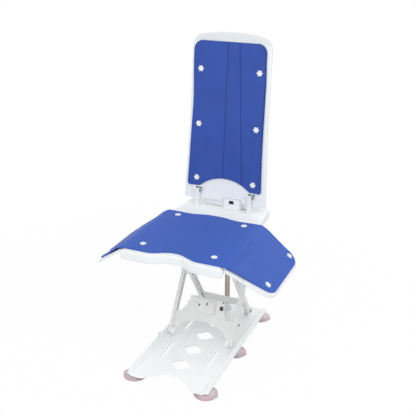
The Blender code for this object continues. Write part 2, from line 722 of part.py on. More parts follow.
def panel_outline():
    # Arched foot between the arms, narrowing above its crease
    foot = -ARM_LENGTH / 2
    low = foot + PANEL_FROM
    rise = ARCH_APEX - PANEL_FROM
    turns = [math.pi * (1 - step / ARCH_STEPS) for step in range(ARCH_STEPS + 1)]
    arch = [Vector((ARCH_HALF_WIDTH * math.cos(turn), low + rise * math.sin(turn))) for turn in turns]
    half = [(OUTER_ARM_X, low), (OUTER_ARM_X, foot + PANEL_CREASE), (PANEL_SHOULDER, foot + PANEL_CREASE),
            (PANEL_HEAD_WIDTH, foot + PANEL_NECK), (PANEL_HEAD_WIDTH, foot + PANEL_TOP)]
    return arch + [Vector(corner) for corner in half + [(-x, y) for x, y in reversed(half)]]


def make_outer_frame():
    foot = -ARM_LENGTH / 2
    frame = prism(panel_outline(), PANEL_FRONT - PANEL_THICKNESS, PANEL_FRONT)
    frame = fused(frame, *[arm(side * OUTER_ARM_X, foot, -foot) for side in SIDES.values()])
    bar = cross_rod(CROSS_BAR_RADIUS, (-OUTER_ARM_X, OUTER_ARM_X), -foot - OUTER_BAR_INSET, 0)
    spacer = INNER_ARM_X + ARM_WIDTH / 2 + GAP
    spans = [(side * spacer, side * OUTER_ARM_X) for side in SIDES.values()]
    bosses = [cross_rod(PIVOT_BOSS_RADIUS, span, 0, 0) for span in spans]
    frame = fused(frame, bar, *bosses)
    middle = foot + PANEL_HOLE_AT
    half_x = PANEL_HOLE_WIDTH / 2
    half_y = PANEL_HOLE_HEIGHT / 2
    hole = block(PANEL_HOLE_X - half_x, PANEL_HOLE_X + half_x, middle - half_y, middle + half_y,
                 0, PANEL_FRONT * 2)
    frame = cut(frame, hole, *arm_holes(OUTER_ARM_X, (foot, 0, -foot)))
    finished("outer_frame", frame, outer, FRAME_GREY)
    low = PANEL_FRONT + GAP
    corners = rectangle(-DRIVE_COVER_HALF_WIDTH, DRIVE_COVER_HALF_WIDTH, foot + DRIVE_COVER_FROM,
                        foot + DRIVE_COVER_TO, DRIVE_COVER_ROUND)
    chamfer = DRIVE_COVER_ROUND / 2
    profile = [(0, low), (0, low + DRIVE_COVER_HEIGHT - chamfer), (chamfer, low + DRIVE_COVER_HEIGHT)]
    finished("drive_cover", moulded(rounded(corners, 2), profile), outer, FRAME_GREY)


make_inner_frame()
make_outer_frame()
LOWER_GLIDE_RADIUS = LOWER_PIVOT_Z - PLATE_TOP - GAP
for name, side in SIDES.items():
    glide(f"upper_{name}", inner, side, INNER_ARM_X, -ARM_LENGTH, UPPER_GLIDE_RADIUS)
    glide(f"lower_{name}", outer, side, OUTER_ARM_X, -ARM_LENGTH / 2, LOWER_GLIDE_RADIUS)
    crossing = (side * (INNER_ARM_X - ARM_WIDTH / 2), side * (OUTER_ARM_X + ARM_WIDTH / 2))
    centre_pin = headed_pin(PIVOT_PIN_RADIUS, PIN_HEAD_RADIUS, crossing, 0, 0)
    finished(f"centre_pivot_pin_{name}", centre_pin, outer, STEEL)


# Seat: heights are from the top of the tray

COVER_FACE = GAP + COVER_THICKNESS
ALONG_Y = Matrix.Rotation(math.radians(-90), 4, "X")


def fold_rod(radius, y_range):
    return moved(turned([(radius, min(y_range)), (radius, max(y_range))], SMALL_STEPS), ALONG_Y)


def fold_lugs(order):
    # Places along the fold of the lugs at its two ends; order 0 is next to the fold, 1 is outside that
    offset = GAP + order * (HINGE_LUG_WIDTH + GAP)
    return [(FOLD_FRONT_Y - offset - HINGE_LUG_WIDTH, FOLD_FRONT_Y - offset),
            (FOLD_REAR_Y + offset, FOLD_REAR_Y + offset + HINGE_LUG_WIDTH)]


def quarter_round(radius):
    # (inset, drop) of an edge from its side up to its top
    turns = [math.pi / 2 * step / EDGE_STEPS for step in range(EDGE_STEPS + 1)]
    return [(radius * (1 - math.cos(turn)), radius * (1 - math.sin(turn))) for turn in turns]


def lip_profile(nose, depth, lip_round, wall, top_thickness):
    # Rounded outer edge, open underneath
    upper = [(inwards, -drop) for inwards, drop in reversed(quarter_round(nose))]
    lower = [(inwards, drop - depth) for inwards, drop in quarter_round(lip_round)]
    return upper + lower + [(wall, -depth), (wall, -top_thickness)]


def tray_outline():
    half = [(RECESS_NARROW_X, TRAY_FRONT_Y + TRAY_RECESS, RECESS_RADIUS),
            (RECESS_WIDE_X, TRAY_FRONT_Y, RECESS_RADIUS),
            (TRAY_SIDE_X, TRAY_FRONT_Y, TRAY_CORNER_RADIUS),
            (TRAY_SIDE_X, TRAY_SHOULDER_Y, TRAY_CORNER_RADIUS),
            (LEDGE_NECK_X, LEDGE_NECK_Y, TRAY_CORNER_RADIUS),
            (LEDGE_REAR_X, LEDGE_REAR_Y, TRAY_CORNER_RADIUS * 2)]
    return rounded(symmetric(half), 4)


def ear(side):
    foot_z = -TRAY_TOP_THICKNESS / 2
    top_z = HINGE_OVER_TRAY + EAR_RADIUS
    corners = [(HINGE_Y - EAR_FOOT_HALF, foot_z, GAP), (HINGE_Y + EAR_FOOT_HALF, foot_z, GAP),
               (HINGE_Y + EAR_RADIUS, top_z, EAR_ROUND), (HINGE_Y - EAR_RADIUS, top_z, EAR_ROUND)]
    half = EAR_WIDTH / 2
    return side_prism(rounded(corners, 4), (side * (EAR_X - half), side * (EAR_X + half)))


def lip_wing(side):
    # End of the front lip, reaching out in front of the fold
    inner_x = TRAY_SIDE_X - TRAY_CORNER_RADIUS - TRAY_WING_ROUND
    x_range = sorted((side * inner_x, side * TRAY_WING_X))
    corners = rectangle(*x_range, GAP - TRAY_DEPTH, -GAP, TRAY_WING_ROUND)
    front = -TRAY_FRONT_Y - GAP
    profile = [(inwards, front - drop) for inwards, drop in quarter_round(TRAY_WING_NOSE)]
    return moved(moulded(rounded(corners, 4), [(0, front - TRAY_WING_DEPTH)] + profile), FRONT_VIEW)


def make_tray():
    profile = lip_profile(TRAY_NOSE, TRAY_DEPTH, TRAY_LIP_ROUND, TRAY_WALL, TRAY_TOP_THICKNESS)
    tray = moulded(tray_outline(), profile)
    mount_z = -TRAY_TOP_THICKNESS / 2
    track_z = -TRAY_OVER_PIVOT + UPPER_GLIDE_RADIUS + GAP
    pieces = []
    bore = COLUMN_RADIUS + COLUMN_RUN
    holes = [shifted(turned([(bore, -TRAY_DEPTH), (bore, TRAY_DEPTH)], ROUND_STEPS), y=COLUMN_Y)]
    for side in SIDES.values():
        track_x = INNER_ARM_X - ARM_WIDTH / 2
        edges = sorted((side * (track_x - GAP - GLIDE_WIDTH), side * track_x))
        pieces.append(block(*edges, TRACK_FRONT_Y, TRACK_REAR_Y, track_z, mount_z))
        pieces += pivot_lugs(side, OUTER_ARM_X, FIXED_PIVOT_Y, -TRAY_OVER_PIVOT, mount_z)
        pieces += [ear(side), lip_wing(side)]
        for y_range in fold_lugs(1):
            fold_x = side * FOLD_X
            neck = sorted((side * (TRAY_SIDE_X - TRAY_NOSE), fold_x))
            low = -FOLD_UNDER_TRAY - HINGE_LUG_RADIUS
            eye = shifted(fold_rod(HINGE_LUG_RADIUS, y_range), x=fold_x, z=-FOLD_UNDER_TRAY)
            pieces.append(fused(eye, block(*neck, *y_range, low + GAP, -GAP)))
        rod_hole = fold_rod(HINGE_ROD_RADIUS + PIN_PLAY, (COVER_FRONT_Y, LEDGE_NECK_Y))
        holes.append(shifted(rod_hole, side * FOLD_X, 0, -FOLD_UNDER_TRAY))
        span = [x * 2 - side * OUTER_ARM_X for x in lug_span(side, OUTER_ARM_X)]
        holes.append(pin_hole(PIVOT_PIN_RADIUS, span, FIXED_PIVOT_Y, -TRAY_OVER_PIVOT))
        ear_span = (side * (EAR_X - EAR_WIDTH), side * (EAR_X + EAR_WIDTH))
        holes.append(pin_hole(HINGE_PIN_RADIUS, ear_span, HINGE_Y, HINGE_OVER_TRAY))
        holes += [stem_hole(side * SEAT_BUTTON_X, y, COVER_FACE) for y in SEAT_BUTTONS_Y]
    finished("seat_tray", cut(fused(tray, *pieces), *holes), seat, WHITE)


def cover_profile(low, high):
    return [(COVER_EDGE, low), (0, low + COVER_EDGE), (0, high - COVER_EDGE), (COVER_EDGE, high)]


def flex_groove(x, y_range, face):
    half = FLEX_GROOVE_WIDTH / 2
    return block(x - half, x + half, *y_range, face - FLEX_GROOVE_DEPTH, face + FLEX_GROOVE_DEPTH)


def make_seat_cover():
    edge_x = FOLD_X - FOLD_EDGE
    half = [(RECESS_NARROW_X, COVER_FRONT_Y + TRAY_RECESS, RECESS_RADIUS),
            (RECESS_WIDE_X, COVER_FRONT_Y, RECESS_RADIUS),
            (edge_x, COVER_FRONT_Y, COVER_EDGE * 2),
            (edge_x, COVER_REAR_Y, COVER_EDGE * 2),
            (BULGE_WIDE_X, COVER_REAR_Y, RECESS_RADIUS),
            (BULGE_NARROW_X, COVER_REAR_Y + COVER_REAR_BULGE, RECESS_RADIUS)]
    cover = moulded(rounded(symmetric(half), 4), cover_profile(GAP, COVER_FACE))
    cutters = []
    for side in SIDES.values():
        cutters += [stem_hole(side * SEAT_BUTTON_X, y, COVER_FACE) for y in SEAT_BUTTONS_Y]
        for index in range(FLEX_GROOVE_COUNT):
            x = side * (edge_x - (index + 1) * FLEX_GROOVE_PITCH)
            cutters.append(flex_groove(x, (TRAY_FRONT_Y, TRAY_SHOULDER_Y), COVER_FACE))
    finished("seat_cover", cut(cover, *cutters), seat, SEAT_BLUE)


def housing_block(corners, low, height, draft):
    top = [(draft + inwards, height - drop) for inwards, drop in quarter_round(HOUSING_ROUND)]
    return moulded(rounded(corners, 3), [(0, low)] + top)


def make_housing():
    wide = rectangle(-HOUSING_HALF_WIDTH, HOUSING_HALF_WIDTH, HOUSING_FRONT_Y, HOUSING_REAR_Y, HOUSING_CORNER)
    neck = rectangle(SOCKET_X - NECK_HALF_WIDTH, SOCKET_X + NECK_HALF_WIDTH, NECK_FRONT_Y, NECK_REAR_Y,
                     HOUSING_CORNER)
    housing = housing_block(wide, GAP, HOUSING_HEIGHT, 0)
    housing = fused(housing, housing_block(neck, GAP * 2, NECK_HEIGHT, NECK_DRAFT))
    bore_radius = COLUMN_RADIUS + COLUMN_RUN
    bore = turned([(bore_radius, -HOUSING_HEIGHT), (bore_radius, NECK_HEIGHT * 2)], ROUND_STEPS)
    low_z = SOCKET_OVER_TRAY - SOCKET_HEIGHT / 2
    high_z = SOCKET_OVER_TRAY + SOCKET_HEIGHT / 2
    low_x = SOCKET_X - SOCKET_WIDTH / 2
    high_x = SOCKET_X + SOCKET_WIDTH / 2
    face = NECK_FRONT_Y + NECK_DRAFT
    rear = face + SOCKET_DEPTH
    front = NECK_FRONT_Y - SOCKET_WALL
    recess = block(low_x, high_x, front, rear, low_z, high_z)
    finished("drive_housing", cut(housing, shifted(bore, y=COLUMN_Y), recess), seat, WHITE)
    socket = block(low_x + GAP, high_x - GAP, face, rear - GAP, low_z + GAP, high_z - GAP)
    hollow = block(low_x + SOCKET_WALL, high_x - SOCKET_WALL, front, rear - SOCKET_WALL,
                   low_z + SOCKET_WALL, high_z - SOCKET_WALL)
    finished("control_socket", cut(socket, hollow), seat, DARK)


make_tray()
make_seat_cover()
make_housing()
for name, side in SIDES.items():
    for place, y in zip(("front", "rear"), SEAT_BUTTONS_Y):
        star_button(f"seat_button_{place}_{name}", seat, side * SEAT_BUTTON_X, y, COVER_FACE)
    pin_span = lug_span(side, OUTER_ARM_X)
    upper_pin = headed_pin(PIVOT_PIN_RADIUS, PIN_HEAD_RADIUS, pin_span, FIXED_PIVOT_Y, -TRAY_OVER_PIVOT)
    finished(f"upper_pivot_pin_{name}", upper_pin, seat, STEEL)
    rod_ends = (fold_lugs(1)[0][0], fold_lugs(1)[1][1])
    rod = shifted(fold_rod(HINGE_ROD_RADIUS, rod_ends), side * FOLD_X, 0, -FOLD_UNDER_TRAY)
    finished(f"flap_hinge_rod_{name}", rod, seat, STEEL)
    bore = HINGE_ROD_RADIUS + PIN_PLAY
    tube = [(FOLD_RADIUS, FOLD_FRONT_Y), (FOLD_RADIUS, FOLD_REAR_Y),
            (bore, FOLD_REAR_Y), (bore, FOLD_FRONT_Y)]
    bead = moved(turned(tube, ROUND_STEPS, ring=True), ALONG_Y)
    bead = shifted(bead, side * FOLD_X, 0, -FOLD_UNDER_TRAY)
    finished(f"fold_bead_{name}", bead, seat, SEAT_BLUE)


# Flaps: each is modelled level, from its fold axis outwards

FLAP_TOP = FOLD_UNDER_TRAY
FLAP_FACE = FLAP_TOP + COVER_FACE


def flap_outline(side, corners):
    placed = [(side * x, y, radius) for x, y, radius in corners]
    return rounded(placed if side > 0 else placed[::-1], 4)


def make_flap(name, side):
    tip = FLAP_COVER_SPAN + FLAP_RIM
    plate_corners = [(FLAP_START, COVER_FRONT_Y - FLAP_RIM, FLAP_ROOT_RADIUS),
                     (tip, FLAP_TIP_FRONT_Y - FLAP_RIM, FLAP_FRONT_RADIUS + FLAP_RIM),
                     (tip, FLAP_REAR_Y + FLAP_REAR_RIM, FLAP_REAR_RADIUS + FLAP_RIM),
                     (FLAP_START, FLAP_REAR_Y + FLAP_REAR_RIM, FLAP_ROOT_RADIUS)]
    profile = lip_profile(FLAP_NOSE, FLAP_THICKNESS, FLAP_LIP_ROUND, FLAP_WALL, FLAP_TOP_THICKNESS)
    plate = shifted(moulded(flap_outline(side, plate_corners), profile), z=FLAP_TOP)
    lugs = []
    for y_range in fold_lugs(0):
        neck = sorted((0, side * (FLAP_START + FLAP_WALL / 2)))
        eye = fold_rod(HINGE_LUG_RADIUS, y_range)
        lugs.append(fused(eye, block(*neck, *y_range, -HINGE_LUG_RADIUS + GAP, FLAP_TOP - FLAP_NOSE / 2)))
    button_span = FLAP_COVER_SPAN - FLAP_BUTTON_INSET
    stems = [(side * button_span, y, FLAP_FACE) for y in FLAP_BUTTONS_Y]
    bore = fold_rod(HINGE_ROD_RADIUS + PIN_PLAY, (COVER_FRONT_Y, LEDGE_NECK_Y))
    plate = cut(fused(plate, *lugs), bore, *[stem_hole(*stem) for stem in stems])
    finished(f"flap_plate_{name}", plate, flaps[name], WHITE)
    cover_corners = [(FOLD_EDGE, COVER_FRONT_Y, COVER_EDGE * 2),
                     (FLAP_COVER_SPAN, FLAP_TIP_FRONT_Y, FLAP_FRONT_RADIUS),
                     (FLAP_COVER_SPAN, FLAP_REAR_Y, FLAP_REAR_RADIUS),
                     (FOLD_EDGE, FLAP_REAR_Y, COVER_EDGE * 2)]
    cover = moulded(flap_outline(side, cover_corners), cover_profile(FLAP_TOP + GAP, FLAP_FACE))
    groove_spans = [FOLD_EDGE + (index + 1) * FLEX_GROOVE_PITCH for index in range(FLEX_GROOVE_COUNT)]
    run = (TRAY_FRONT_Y, TRAY_SHOULDER_Y)
    grooves = [flex_groove(side * span, run, FLAP_FACE) for span in groove_spans]
    cover = cut(cover, *grooves, *[stem_hole(*stem) for stem in stems])
    finished(f"flap_cover_{name}", cover, flaps[name], SEAT_BLUE)
    for place, stem in zip(("front", "rear"), stems):
        star_button(f"flap_button_{place}_{name}", flaps[name], *stem)


for name, side in SIDES.items():
    make_flap(name, side)


# Backrest: modelled lying on its back with the hinge axis at its origin and its top towards +Y

BACK_FLOOR = BACK_FACE - COVER_THICKNESS - GAP
BACK_COVER_TOP = SHELL_TOP - BACK_COVER_TOP_INSET
SHELL_SHOULDER = SHELL_TOP - SHELL_CROWN_RISE
BACK_STEMS = [(side * BACK_BUTTON_X, y) for side in SIDES.values() for y in BACK_BUTTONS]


def back_ribs():
    # Ribs across and along the hollow behind the shell
    low = BACK_FLOOR - SHELL_DEPTH + BACK_RIB_SET_BACK
    high = BACK_FLOOR - SHELL_SKIN / 2
    half = BACK_RIB_THICKNESS / 2
    reach = SHELL_TOP_X - SHELL_WALL / 2
    across = [block(-reach, reach, y - half, y + half, low, high) for y in BACK_RIBS]
    top = SHELL_SHOULDER - SHELL_WALL / 2
    places = [side * BACK_RIB_X for side in SIDES.values()]
    along = [block(x - half, x + half, BACK_COVER_BOTTOM, top, low, high) for x in places]
    return fused(joined(across), *along)


def make_shell():
    half = [(SHELL_BOTTOM_X, SHELL_BOTTOM, SHELL_BOTTOM_RADIUS),
            (SHELL_WAIST_X, SHELL_WAIST, SHELL_WAIST),
            (SHELL_TOP_X, SHELL_SHOULDER, SHELL_TOP_RADIUS),
            (SHELL_CROWN_X, SHELL_TOP, SHELL_CROWN_RADIUS)]
    profile = lip_profile(SHELL_NOSE, SHELL_DEPTH, SHELL_LIP_ROUND, SHELL_WALL, SHELL_SKIN)
    shell = shifted(moulded(rounded(symmetric(half), 5), profile), z=BACK_FLOOR)
    near = EAR_WIDTH / 2 + EAR_PLAY
    below, rear = SHELL_BOTTOM * 2, -SHELL_DEPTH * 2
    notch = (SOCKET_X - SHELL_NOTCH_HALF, SOCKET_X + SHELL_NOTCH_HALF)
    shell = fused(shell, back_ribs())
    shell = cut(shell, block(-EAR_X, EAR_X, below, SHELL_MIDDLE_BOTTOM, rear, SHELL_DEPTH))
    shell = cut(shell, block(*notch, below, SHELL_NOTCH_TOP, rear, SHELL_DEPTH))
    slots = []
    bosses = []
    holes = [stem_hole(x, y, BACK_FACE) for x, y in BACK_STEMS]
    for side in SIDES.values():
        edges = sorted((side * (EAR_X - near), side * (EAR_X + near)))
        slots.append(block(*edges, below, EAR_SLOT_OVER_PIN, rear, SHELL_DEPTH))
        for away in (-1, 1):
            span = [side * (EAR_X + away * reach) for reach in (near, near + HINGE_BOSS_WIDTH)]
            bosses.append(cross_rod(HINGE_BOSS_RADIUS, span, 0, 0))
        bore = (side * (EAR_X - near * 3), side * (EAR_X + near * 3))
        holes.append(pin_hole(HINGE_PIN_RADIUS, bore, 0, 0))
    shell = fused(cut(shell, *slots), *bosses)
    finished("backrest_shell", cut(shell, *holes), backrest, WHITE)


def back_cover_outline():
    # The lower edge is an arc between two lobes
    rise = BACK_ARCH_HEIGHT
    radius = (BACK_ARCH_HALF_WIDTH ** 2 + rise ** 2) / (2 * rise)
    centre_y = BACK_COVER_BOTTOM + rise - radius
    spread = math.asin(BACK_ARCH_HALF_WIDTH / radius)
    turns = [spread * (2 * step / ARCH_STEPS - 1) for step in range(ARCH_STEPS + 1)]
    arch = [Vector((radius * math.sin(turn), centre_y + radius * math.cos(turn))) for turn in turns]
    half = [(BACK_ARCH_HALF_WIDTH, BACK_COVER_BOTTOM, GAP),
            (BACK_COVER_BOTTOM_X, BACK_COVER_BOTTOM, BACK_COVER_BOTTOM_RADIUS),
            (BACK_COVER_WAIST_X, SHELL_WAIST, SHELL_WAIST),
            (BACK_COVER_TOP_X, BACK_COVER_TOP, BACK_COVER_TOP_RADIUS)]
    steps = 5
    sides = rounded(symmetric(half), steps)
    return arch[1:-1] + sides[steps:-steps]


def back_groove(bottom_x, top_x):
    # Long groove from the lower edge of the cover to its top edge
    half = FLEX_GROOVE_WIDTH
    top = BACK_COVER_TOP + FLEX_GROOVE_WIDTH
    corners = [(bottom_x - half, BACK_COVER_BOTTOM), (bottom_x + half, BACK_COVER_BOTTOM),
               (top_x + half, top), (top_x - half, top)]
    outline = [Vector(corner) for corner in corners]
    return prism(outline, BACK_FACE - FLEX_GROOVE_DEPTH, BACK_FACE + FLEX_GROOVE_DEPTH)


def make_back_cover():
    cover = moulded(back_cover_outline(), cover_profile(BACK_FLOOR + GAP, BACK_FACE))
    grooves = [back_groove(*ends) for ends in BACK_GROOVES]
    cover = cut(cover, *grooves, *[stem_hole(x, y, BACK_FACE) for x, y in BACK_STEMS])
    finished("backrest_cover", cover, backrest, SEAT_BLUE)


make_shell()
make_back_cover()
for name, side in SIDES.items():
    for place, y in zip(("low", "middle", "high"), BACK_BUTTONS):
        star_button(f"backrest_button_{place}_{name}", backrest, side * BACK_BUTTON_X, y, BACK_FACE)
    reach = EAR_WIDTH / 2 + EAR_PLAY + HINGE_BOSS_WIDTH
    hinge_pin = cross_rod(HINGE_PIN_RADIUS, (side * (EAR_X - reach), side * (EAR_X + reach)), 0, 0)
    finished(f"backrest_hinge_pin_{name}", hinge_pin, backrest, STEEL)
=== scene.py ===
import math

import bmesh
import bpy
import numpy as np
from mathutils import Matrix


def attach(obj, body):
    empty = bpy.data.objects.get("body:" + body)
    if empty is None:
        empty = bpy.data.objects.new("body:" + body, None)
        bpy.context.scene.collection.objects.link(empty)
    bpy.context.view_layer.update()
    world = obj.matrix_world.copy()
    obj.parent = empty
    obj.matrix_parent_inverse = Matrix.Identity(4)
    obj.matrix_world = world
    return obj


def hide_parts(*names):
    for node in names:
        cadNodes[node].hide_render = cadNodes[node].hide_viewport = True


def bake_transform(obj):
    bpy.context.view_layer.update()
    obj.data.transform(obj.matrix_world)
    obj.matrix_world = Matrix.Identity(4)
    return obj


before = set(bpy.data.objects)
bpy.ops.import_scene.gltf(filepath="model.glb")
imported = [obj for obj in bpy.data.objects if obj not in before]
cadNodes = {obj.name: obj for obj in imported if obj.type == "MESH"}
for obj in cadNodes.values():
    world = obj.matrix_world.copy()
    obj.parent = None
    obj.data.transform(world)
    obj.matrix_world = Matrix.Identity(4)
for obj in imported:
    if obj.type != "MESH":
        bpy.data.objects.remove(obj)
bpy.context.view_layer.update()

scene = bpy.context.scene


# view and light

viewSet = dict(place=(0.9431, -2.1079, 1.5195), turn=(67.45, 0, 23.5), lens=61.70, sensor=36, reach=120)
lightSet = {
    "world": 0.72,
    "key": dict(power=28, size=2.0, place=(1.5, -1.4, 2.9), target=(0, 0, 0.5)),
    "fill": dict(power=17, size=2.4, place=(-0.9, -3.0, 1.6), target=(0, 0, 0.3)),
    "top": dict(power=6, size=2.4, place=(0, -0.6, 3.4), target=(0, 0, 0.4)),
    "rim": dict(power=12, size=1.8, place=(0.3, 2.6, 1.2), target=(0, 0, 0.5)),
}


def makeCamera(look):
    data = bpy.data.cameras.new("photoCamera")
    data.lens = look["lens"]
    data.sensor_width = look["sensor"]
    data.clip_end = look["reach"]
    holder = bpy.data.objects.new("photoCamera", data)
    holder.location = look["place"]
    holder.rotation_euler = [math.radians(angle) for angle in look["turn"]]
    scene.collection.objects.link(holder)
    scene.camera = holder


def areaLight(name, look):
    data = bpy.data.lights.new(name, "AREA")
    data.energy = look["power"]
    data.size = look["size"]
    holder = bpy.data.objects.new(name, data)
    holder.location = look["place"]
    aim = np.array(look["target"]) - np.array(look["place"])
    holder.rotation_euler = (math.atan2(math.hypot(aim[0], aim[1]), -aim[2]), 0,
                             math.atan2(aim[1], aim[0]) - math.pi / 2)
    scene.collection.objects.link(holder)


# shader writing: a wire is one output socket, and maths on wires adds Math nodes

class Wire:
    def __init__(self, tree, socket=None):
        self.tree = tree
        self.socket = socket

    def put(self, target, value):
        if isinstance(value, Wire):
            self.tree.links.new(value.socket, target)
        else:
            target.default_value = value

    def node(self, kind, settings=None, sockets=None, output=0):  # any node: settings, then sockets
        made = self.tree.nodes.new(kind)
        for key, value in (settings or {}).items():
            setattr(made, key, value)
        for key, value in (sockets or {}).items():
            self.put(made.inputs[key], value)
        return Wire(self.tree, made.outputs[output])

    def calc(self, operation, first, second=0.0):
        return self.node("ShaderNodeMath", {"operation": operation}, {0: first, 1: second})

    def __add__(self, other): return self.calc("ADD", self, other)
    def __radd__(self, other): return self.calc("ADD", other, self)
    def __sub__(self, other): return self.calc("SUBTRACT", self, other)
    def __rsub__(self, other): return self.calc("SUBTRACT", other, self)
    def __mul__(self, other): return self.calc("MULTIPLY", self, other)
    def __truediv__(self, other): return self.calc("DIVIDE", self, other)
    def sine(self): return self.calc("SINE", self)
    def size(self): return self.calc("ABSOLUTE", self)

    def limit(self, low=0.0, high=1.0):
        return self.calc("MINIMUM", self.calc("MAXIMUM", self, low), high)

    def part(self, axis):
        return self.node("ShaderNodeSeparateXYZ", {}, {0: self}, axis)

    def stretch(self, scale):
        return self.node("ShaderNodeMapping", {}, {"Vector": self, "Scale": scale})

    def coords(self, kind="Object"):
        return self.node("ShaderNodeTexCoord", {}, {}, kind)

    def noise(self, scale, detail, rough=0.5):
        return self.node("ShaderNodeTexNoise", {}, {"Vector": self, "Scale": scale, "Detail": detail,
                                                    "Roughness": rough}, "Fac")

    def ramp(self, low, high):
        return self.node("ShaderNodeMapRange", {"interpolation_type": "SMOOTHSTEP"},
                         {"Value": self, "From Min": low, "From Max": high})

    def between(self, first, second):  # mix of two colours by this wire
        return self.node("ShaderNodeMix", {"data_type": "RGBA"}, {0: self, 6: first, 7: second}, 2)

    def bump(self, strength, distance):
        return self.node("ShaderNodeBump", {}, {"Strength": strength, "Distance": distance, "Height": self})


def newFinish(name, **fixed):
    made = bpy.data.materials.new(name)
    made.use_nodes = True
    shader = made.node_tree.nodes["Principled BSDF"]
    for key, value in fixed.items():
        shader.inputs[key.replace("_", " ")].default_value = value
    return made, shader, Wire(made.node_tree)


def tint(colour):
    return (*colour, 1.0)


# in the finishes a noise is (scale, detail, roughness) and a range is where a smooth step starts and ends

plasticSet = {
    "white": dict(light=(0.86, 0.885, 0.905), shade=(0.81, 0.84, 0.865), gloss=0.36, grain=0.10),
    "base": dict(light=(0.965, 0.98, 0.98), shade=(0.93, 0.95, 0.955), gloss=0.42, grain=0.14),
    "frame": dict(light=(0.86, 0.87, 0.86), shade=(0.79, 0.80, 0.785), gloss=0.44, grain=0.16),
}
mouldSet = dict(cloud=(6.5, 3.0), flow=(4.0, 4.0, 0.6), flowStretch=(3.0, 3.0, 26.0), grain=(1500.0, 2.0),
                rub=(38.0, 5.0, 0.65), rubRange=(0.56, 0.74), toneRange=(0.34, 0.66), cloudShare=0.6,
                rubShare=0.15, cloudGloss=0.16, grainGloss=0.10, rubGloss=0.06, flowBump=0.5, depth=0.0006)
# painted shade: the shell's crown is greyed over a band of heights
crownPaintedShade = dict(heights=(1.070, 1.105), deeper=0.87)  # the shell's crown turns greyer over these heights


def mouldedPlastic(name, look, crown=None):
    # slow cloudy tone, faint flow lines, fine spark-eroded grain, rubbed patches that shine; for the shell,
    # painted shade greying its crown
    made, shader, pen = newFinish(name, IOR=1.49)
    mould = mouldSet
    place = pen.coords()
    cloud = place.noise(*mould["cloud"])
    flow = place.stretch(mould["flowStretch"]).noise(*mould["flow"])
    grain = place.noise(*mould["grain"])
    rubbed = place.noise(*mould["rub"]).ramp(*mould["rubRange"])
    slow = (cloud * mould["cloudShare"] + flow * (1 - mould["cloudShare"])).ramp(*mould["toneRange"])
    tone = slow * (1 - mould["rubShare"]) + rubbed * mould["rubShare"]
    colour = tone.between(tint(look["shade"]), tint(look["light"]))
    # painted shade: greys the crown over a band of heights, standing in for less light there
    if crown:
        paintedShadeGrey = tint([value * crown["deeper"] for value in look["shade"]])
        colour = place.part(2).ramp(*crown["heights"]).between(colour, paintedShadeGrey)
    pen.put(shader.inputs["Base Color"], colour)
    pen.put(shader.inputs["Roughness"], look["gloss"] + (cloud - 0.5) * mould["cloudGloss"]
            + (grain - 0.5) * mould["grainGloss"] - rubbed * mould["rubGloss"])
    pen.put(shader.inputs["Normal"], (grain + flow * mould["flowBump"]).bump(look["grain"], mould["depth"]))
    return made


# lines: each flex groove as (U at V = 0, change of U along V), with painted shade darkening the cover along it;
# fade: the range of V over which the painted shade ends
coverSet = {
    "back": dict(deep=(0.028, 0.070, 0.33), bright=(0.040, 0.094, 0.41), gloss=0.60, soil=0.75, grooveShadeWidth=0.0019,
                 lines=((-0.0084, -0.0046), (0.0710, -0.0704)), fade=(2.0, 3.0)),
    # painted light: the seat and flap blues are brighter copies of the backrest's blue, standing in for the extra
    # light on those faces
    "seat": dict(deep=(0.034, 0.096, 0.43), bright=(0.046, 0.124, 0.52), gloss=0.62, lines=()),
    "flap": dict(deep=(0.036, 0.099, 0.45), bright=(0.048, 0.128, 0.545), gloss=0.62, soil=0.42, grooveShadeWidth=0.0016,
                 lines=((0.0128, 0.016), (0.0212, 0.024), (0.0302, 0.034)), fade=(-0.10, 0.08)),
}
knitSet = dict(pitch=0.0011, stagger=0.8, mottle=(11.0, 4.0, 0.55), streak=(1.0, 2.0),
               streakStretch=(150.0, 2.5, 1.0), fluff=(420.0, 3.0, 0.6), mottleShare=0.45, fluffShare=0.15,
               stitchShare=0.2, streakShare=0.2, toneRange=(0.22, 0.78), grooveShadeTone=0.35, mottleGloss=0.18,
               stitchGloss=0.10, fluffBump=0.6, bump=0.30, depth=0.0005)


def foamCover(name, look):
    # knitted face over thin foam: rows of stitches on the piece's own UV in metres, soft mottling,
    # faint pressed streaks
    made, shader, pen = newFinish(name, Sheen_Weight=0.04, Sheen_Roughness=0.5, Specular_IOR_Level=0.22)
    lay = pen.coords("UV")
    place = pen.coords()
    knit = knitSet
    turn = math.tau / knit["pitch"]
    across = (lay.part(0) * turn).sine()
    along = (lay.part(1) * turn + across * knit["stagger"]).sine()
    stitch = (across * along) * 0.5 + 0.5
    mottle = place.noise(*knit["mottle"])
    streak = lay.stretch(knit["streakStretch"]).noise(*knit["streak"])
    fluff = place.noise(*knit["fluff"])
    tone = (mottle * knit["mottleShare"] + fluff * knit["fluffShare"] + stitch * knit["stitchShare"]
            + streak * knit["streakShare"]).ramp(*knit["toneRange"])
    cloth = tone.between(tint(look["deep"]), tint(look["bright"]))
    if look["lines"]:
        gaps = [(lay.part(0) - start - lay.part(1) * slope).size() for start, slope in look["lines"]]
        nearest = gaps[0]
        for gap in gaps[1:]:
            nearest = pen.calc("MINIMUM", nearest, gap)
        # painted shade: the cover darkens along each groove line and fades out over V
        nearGroove = 1 - nearest.ramp(0.0, look["grooveShadeWidth"])
        soil = nearGroove * (1 - lay.part(1).ramp(*look["fade"])) * look["soil"]
        cloth = soil.between(cloth, tint([value * knit["grooveShadeTone"] for value in look["deep"]]))
    pen.put(shader.inputs["Base Color"], cloth)
    pen.put(shader.inputs["Roughness"], look["gloss"] + (mottle - 0.5) * knit["mottleGloss"]
            + (0.5 - stitch) * knit["stitchGloss"])
    pen.put(shader.inputs["Normal"], (stitch + fluff * knit["fluffBump"]).bump(knit["bump"], knit["depth"]))
    return made


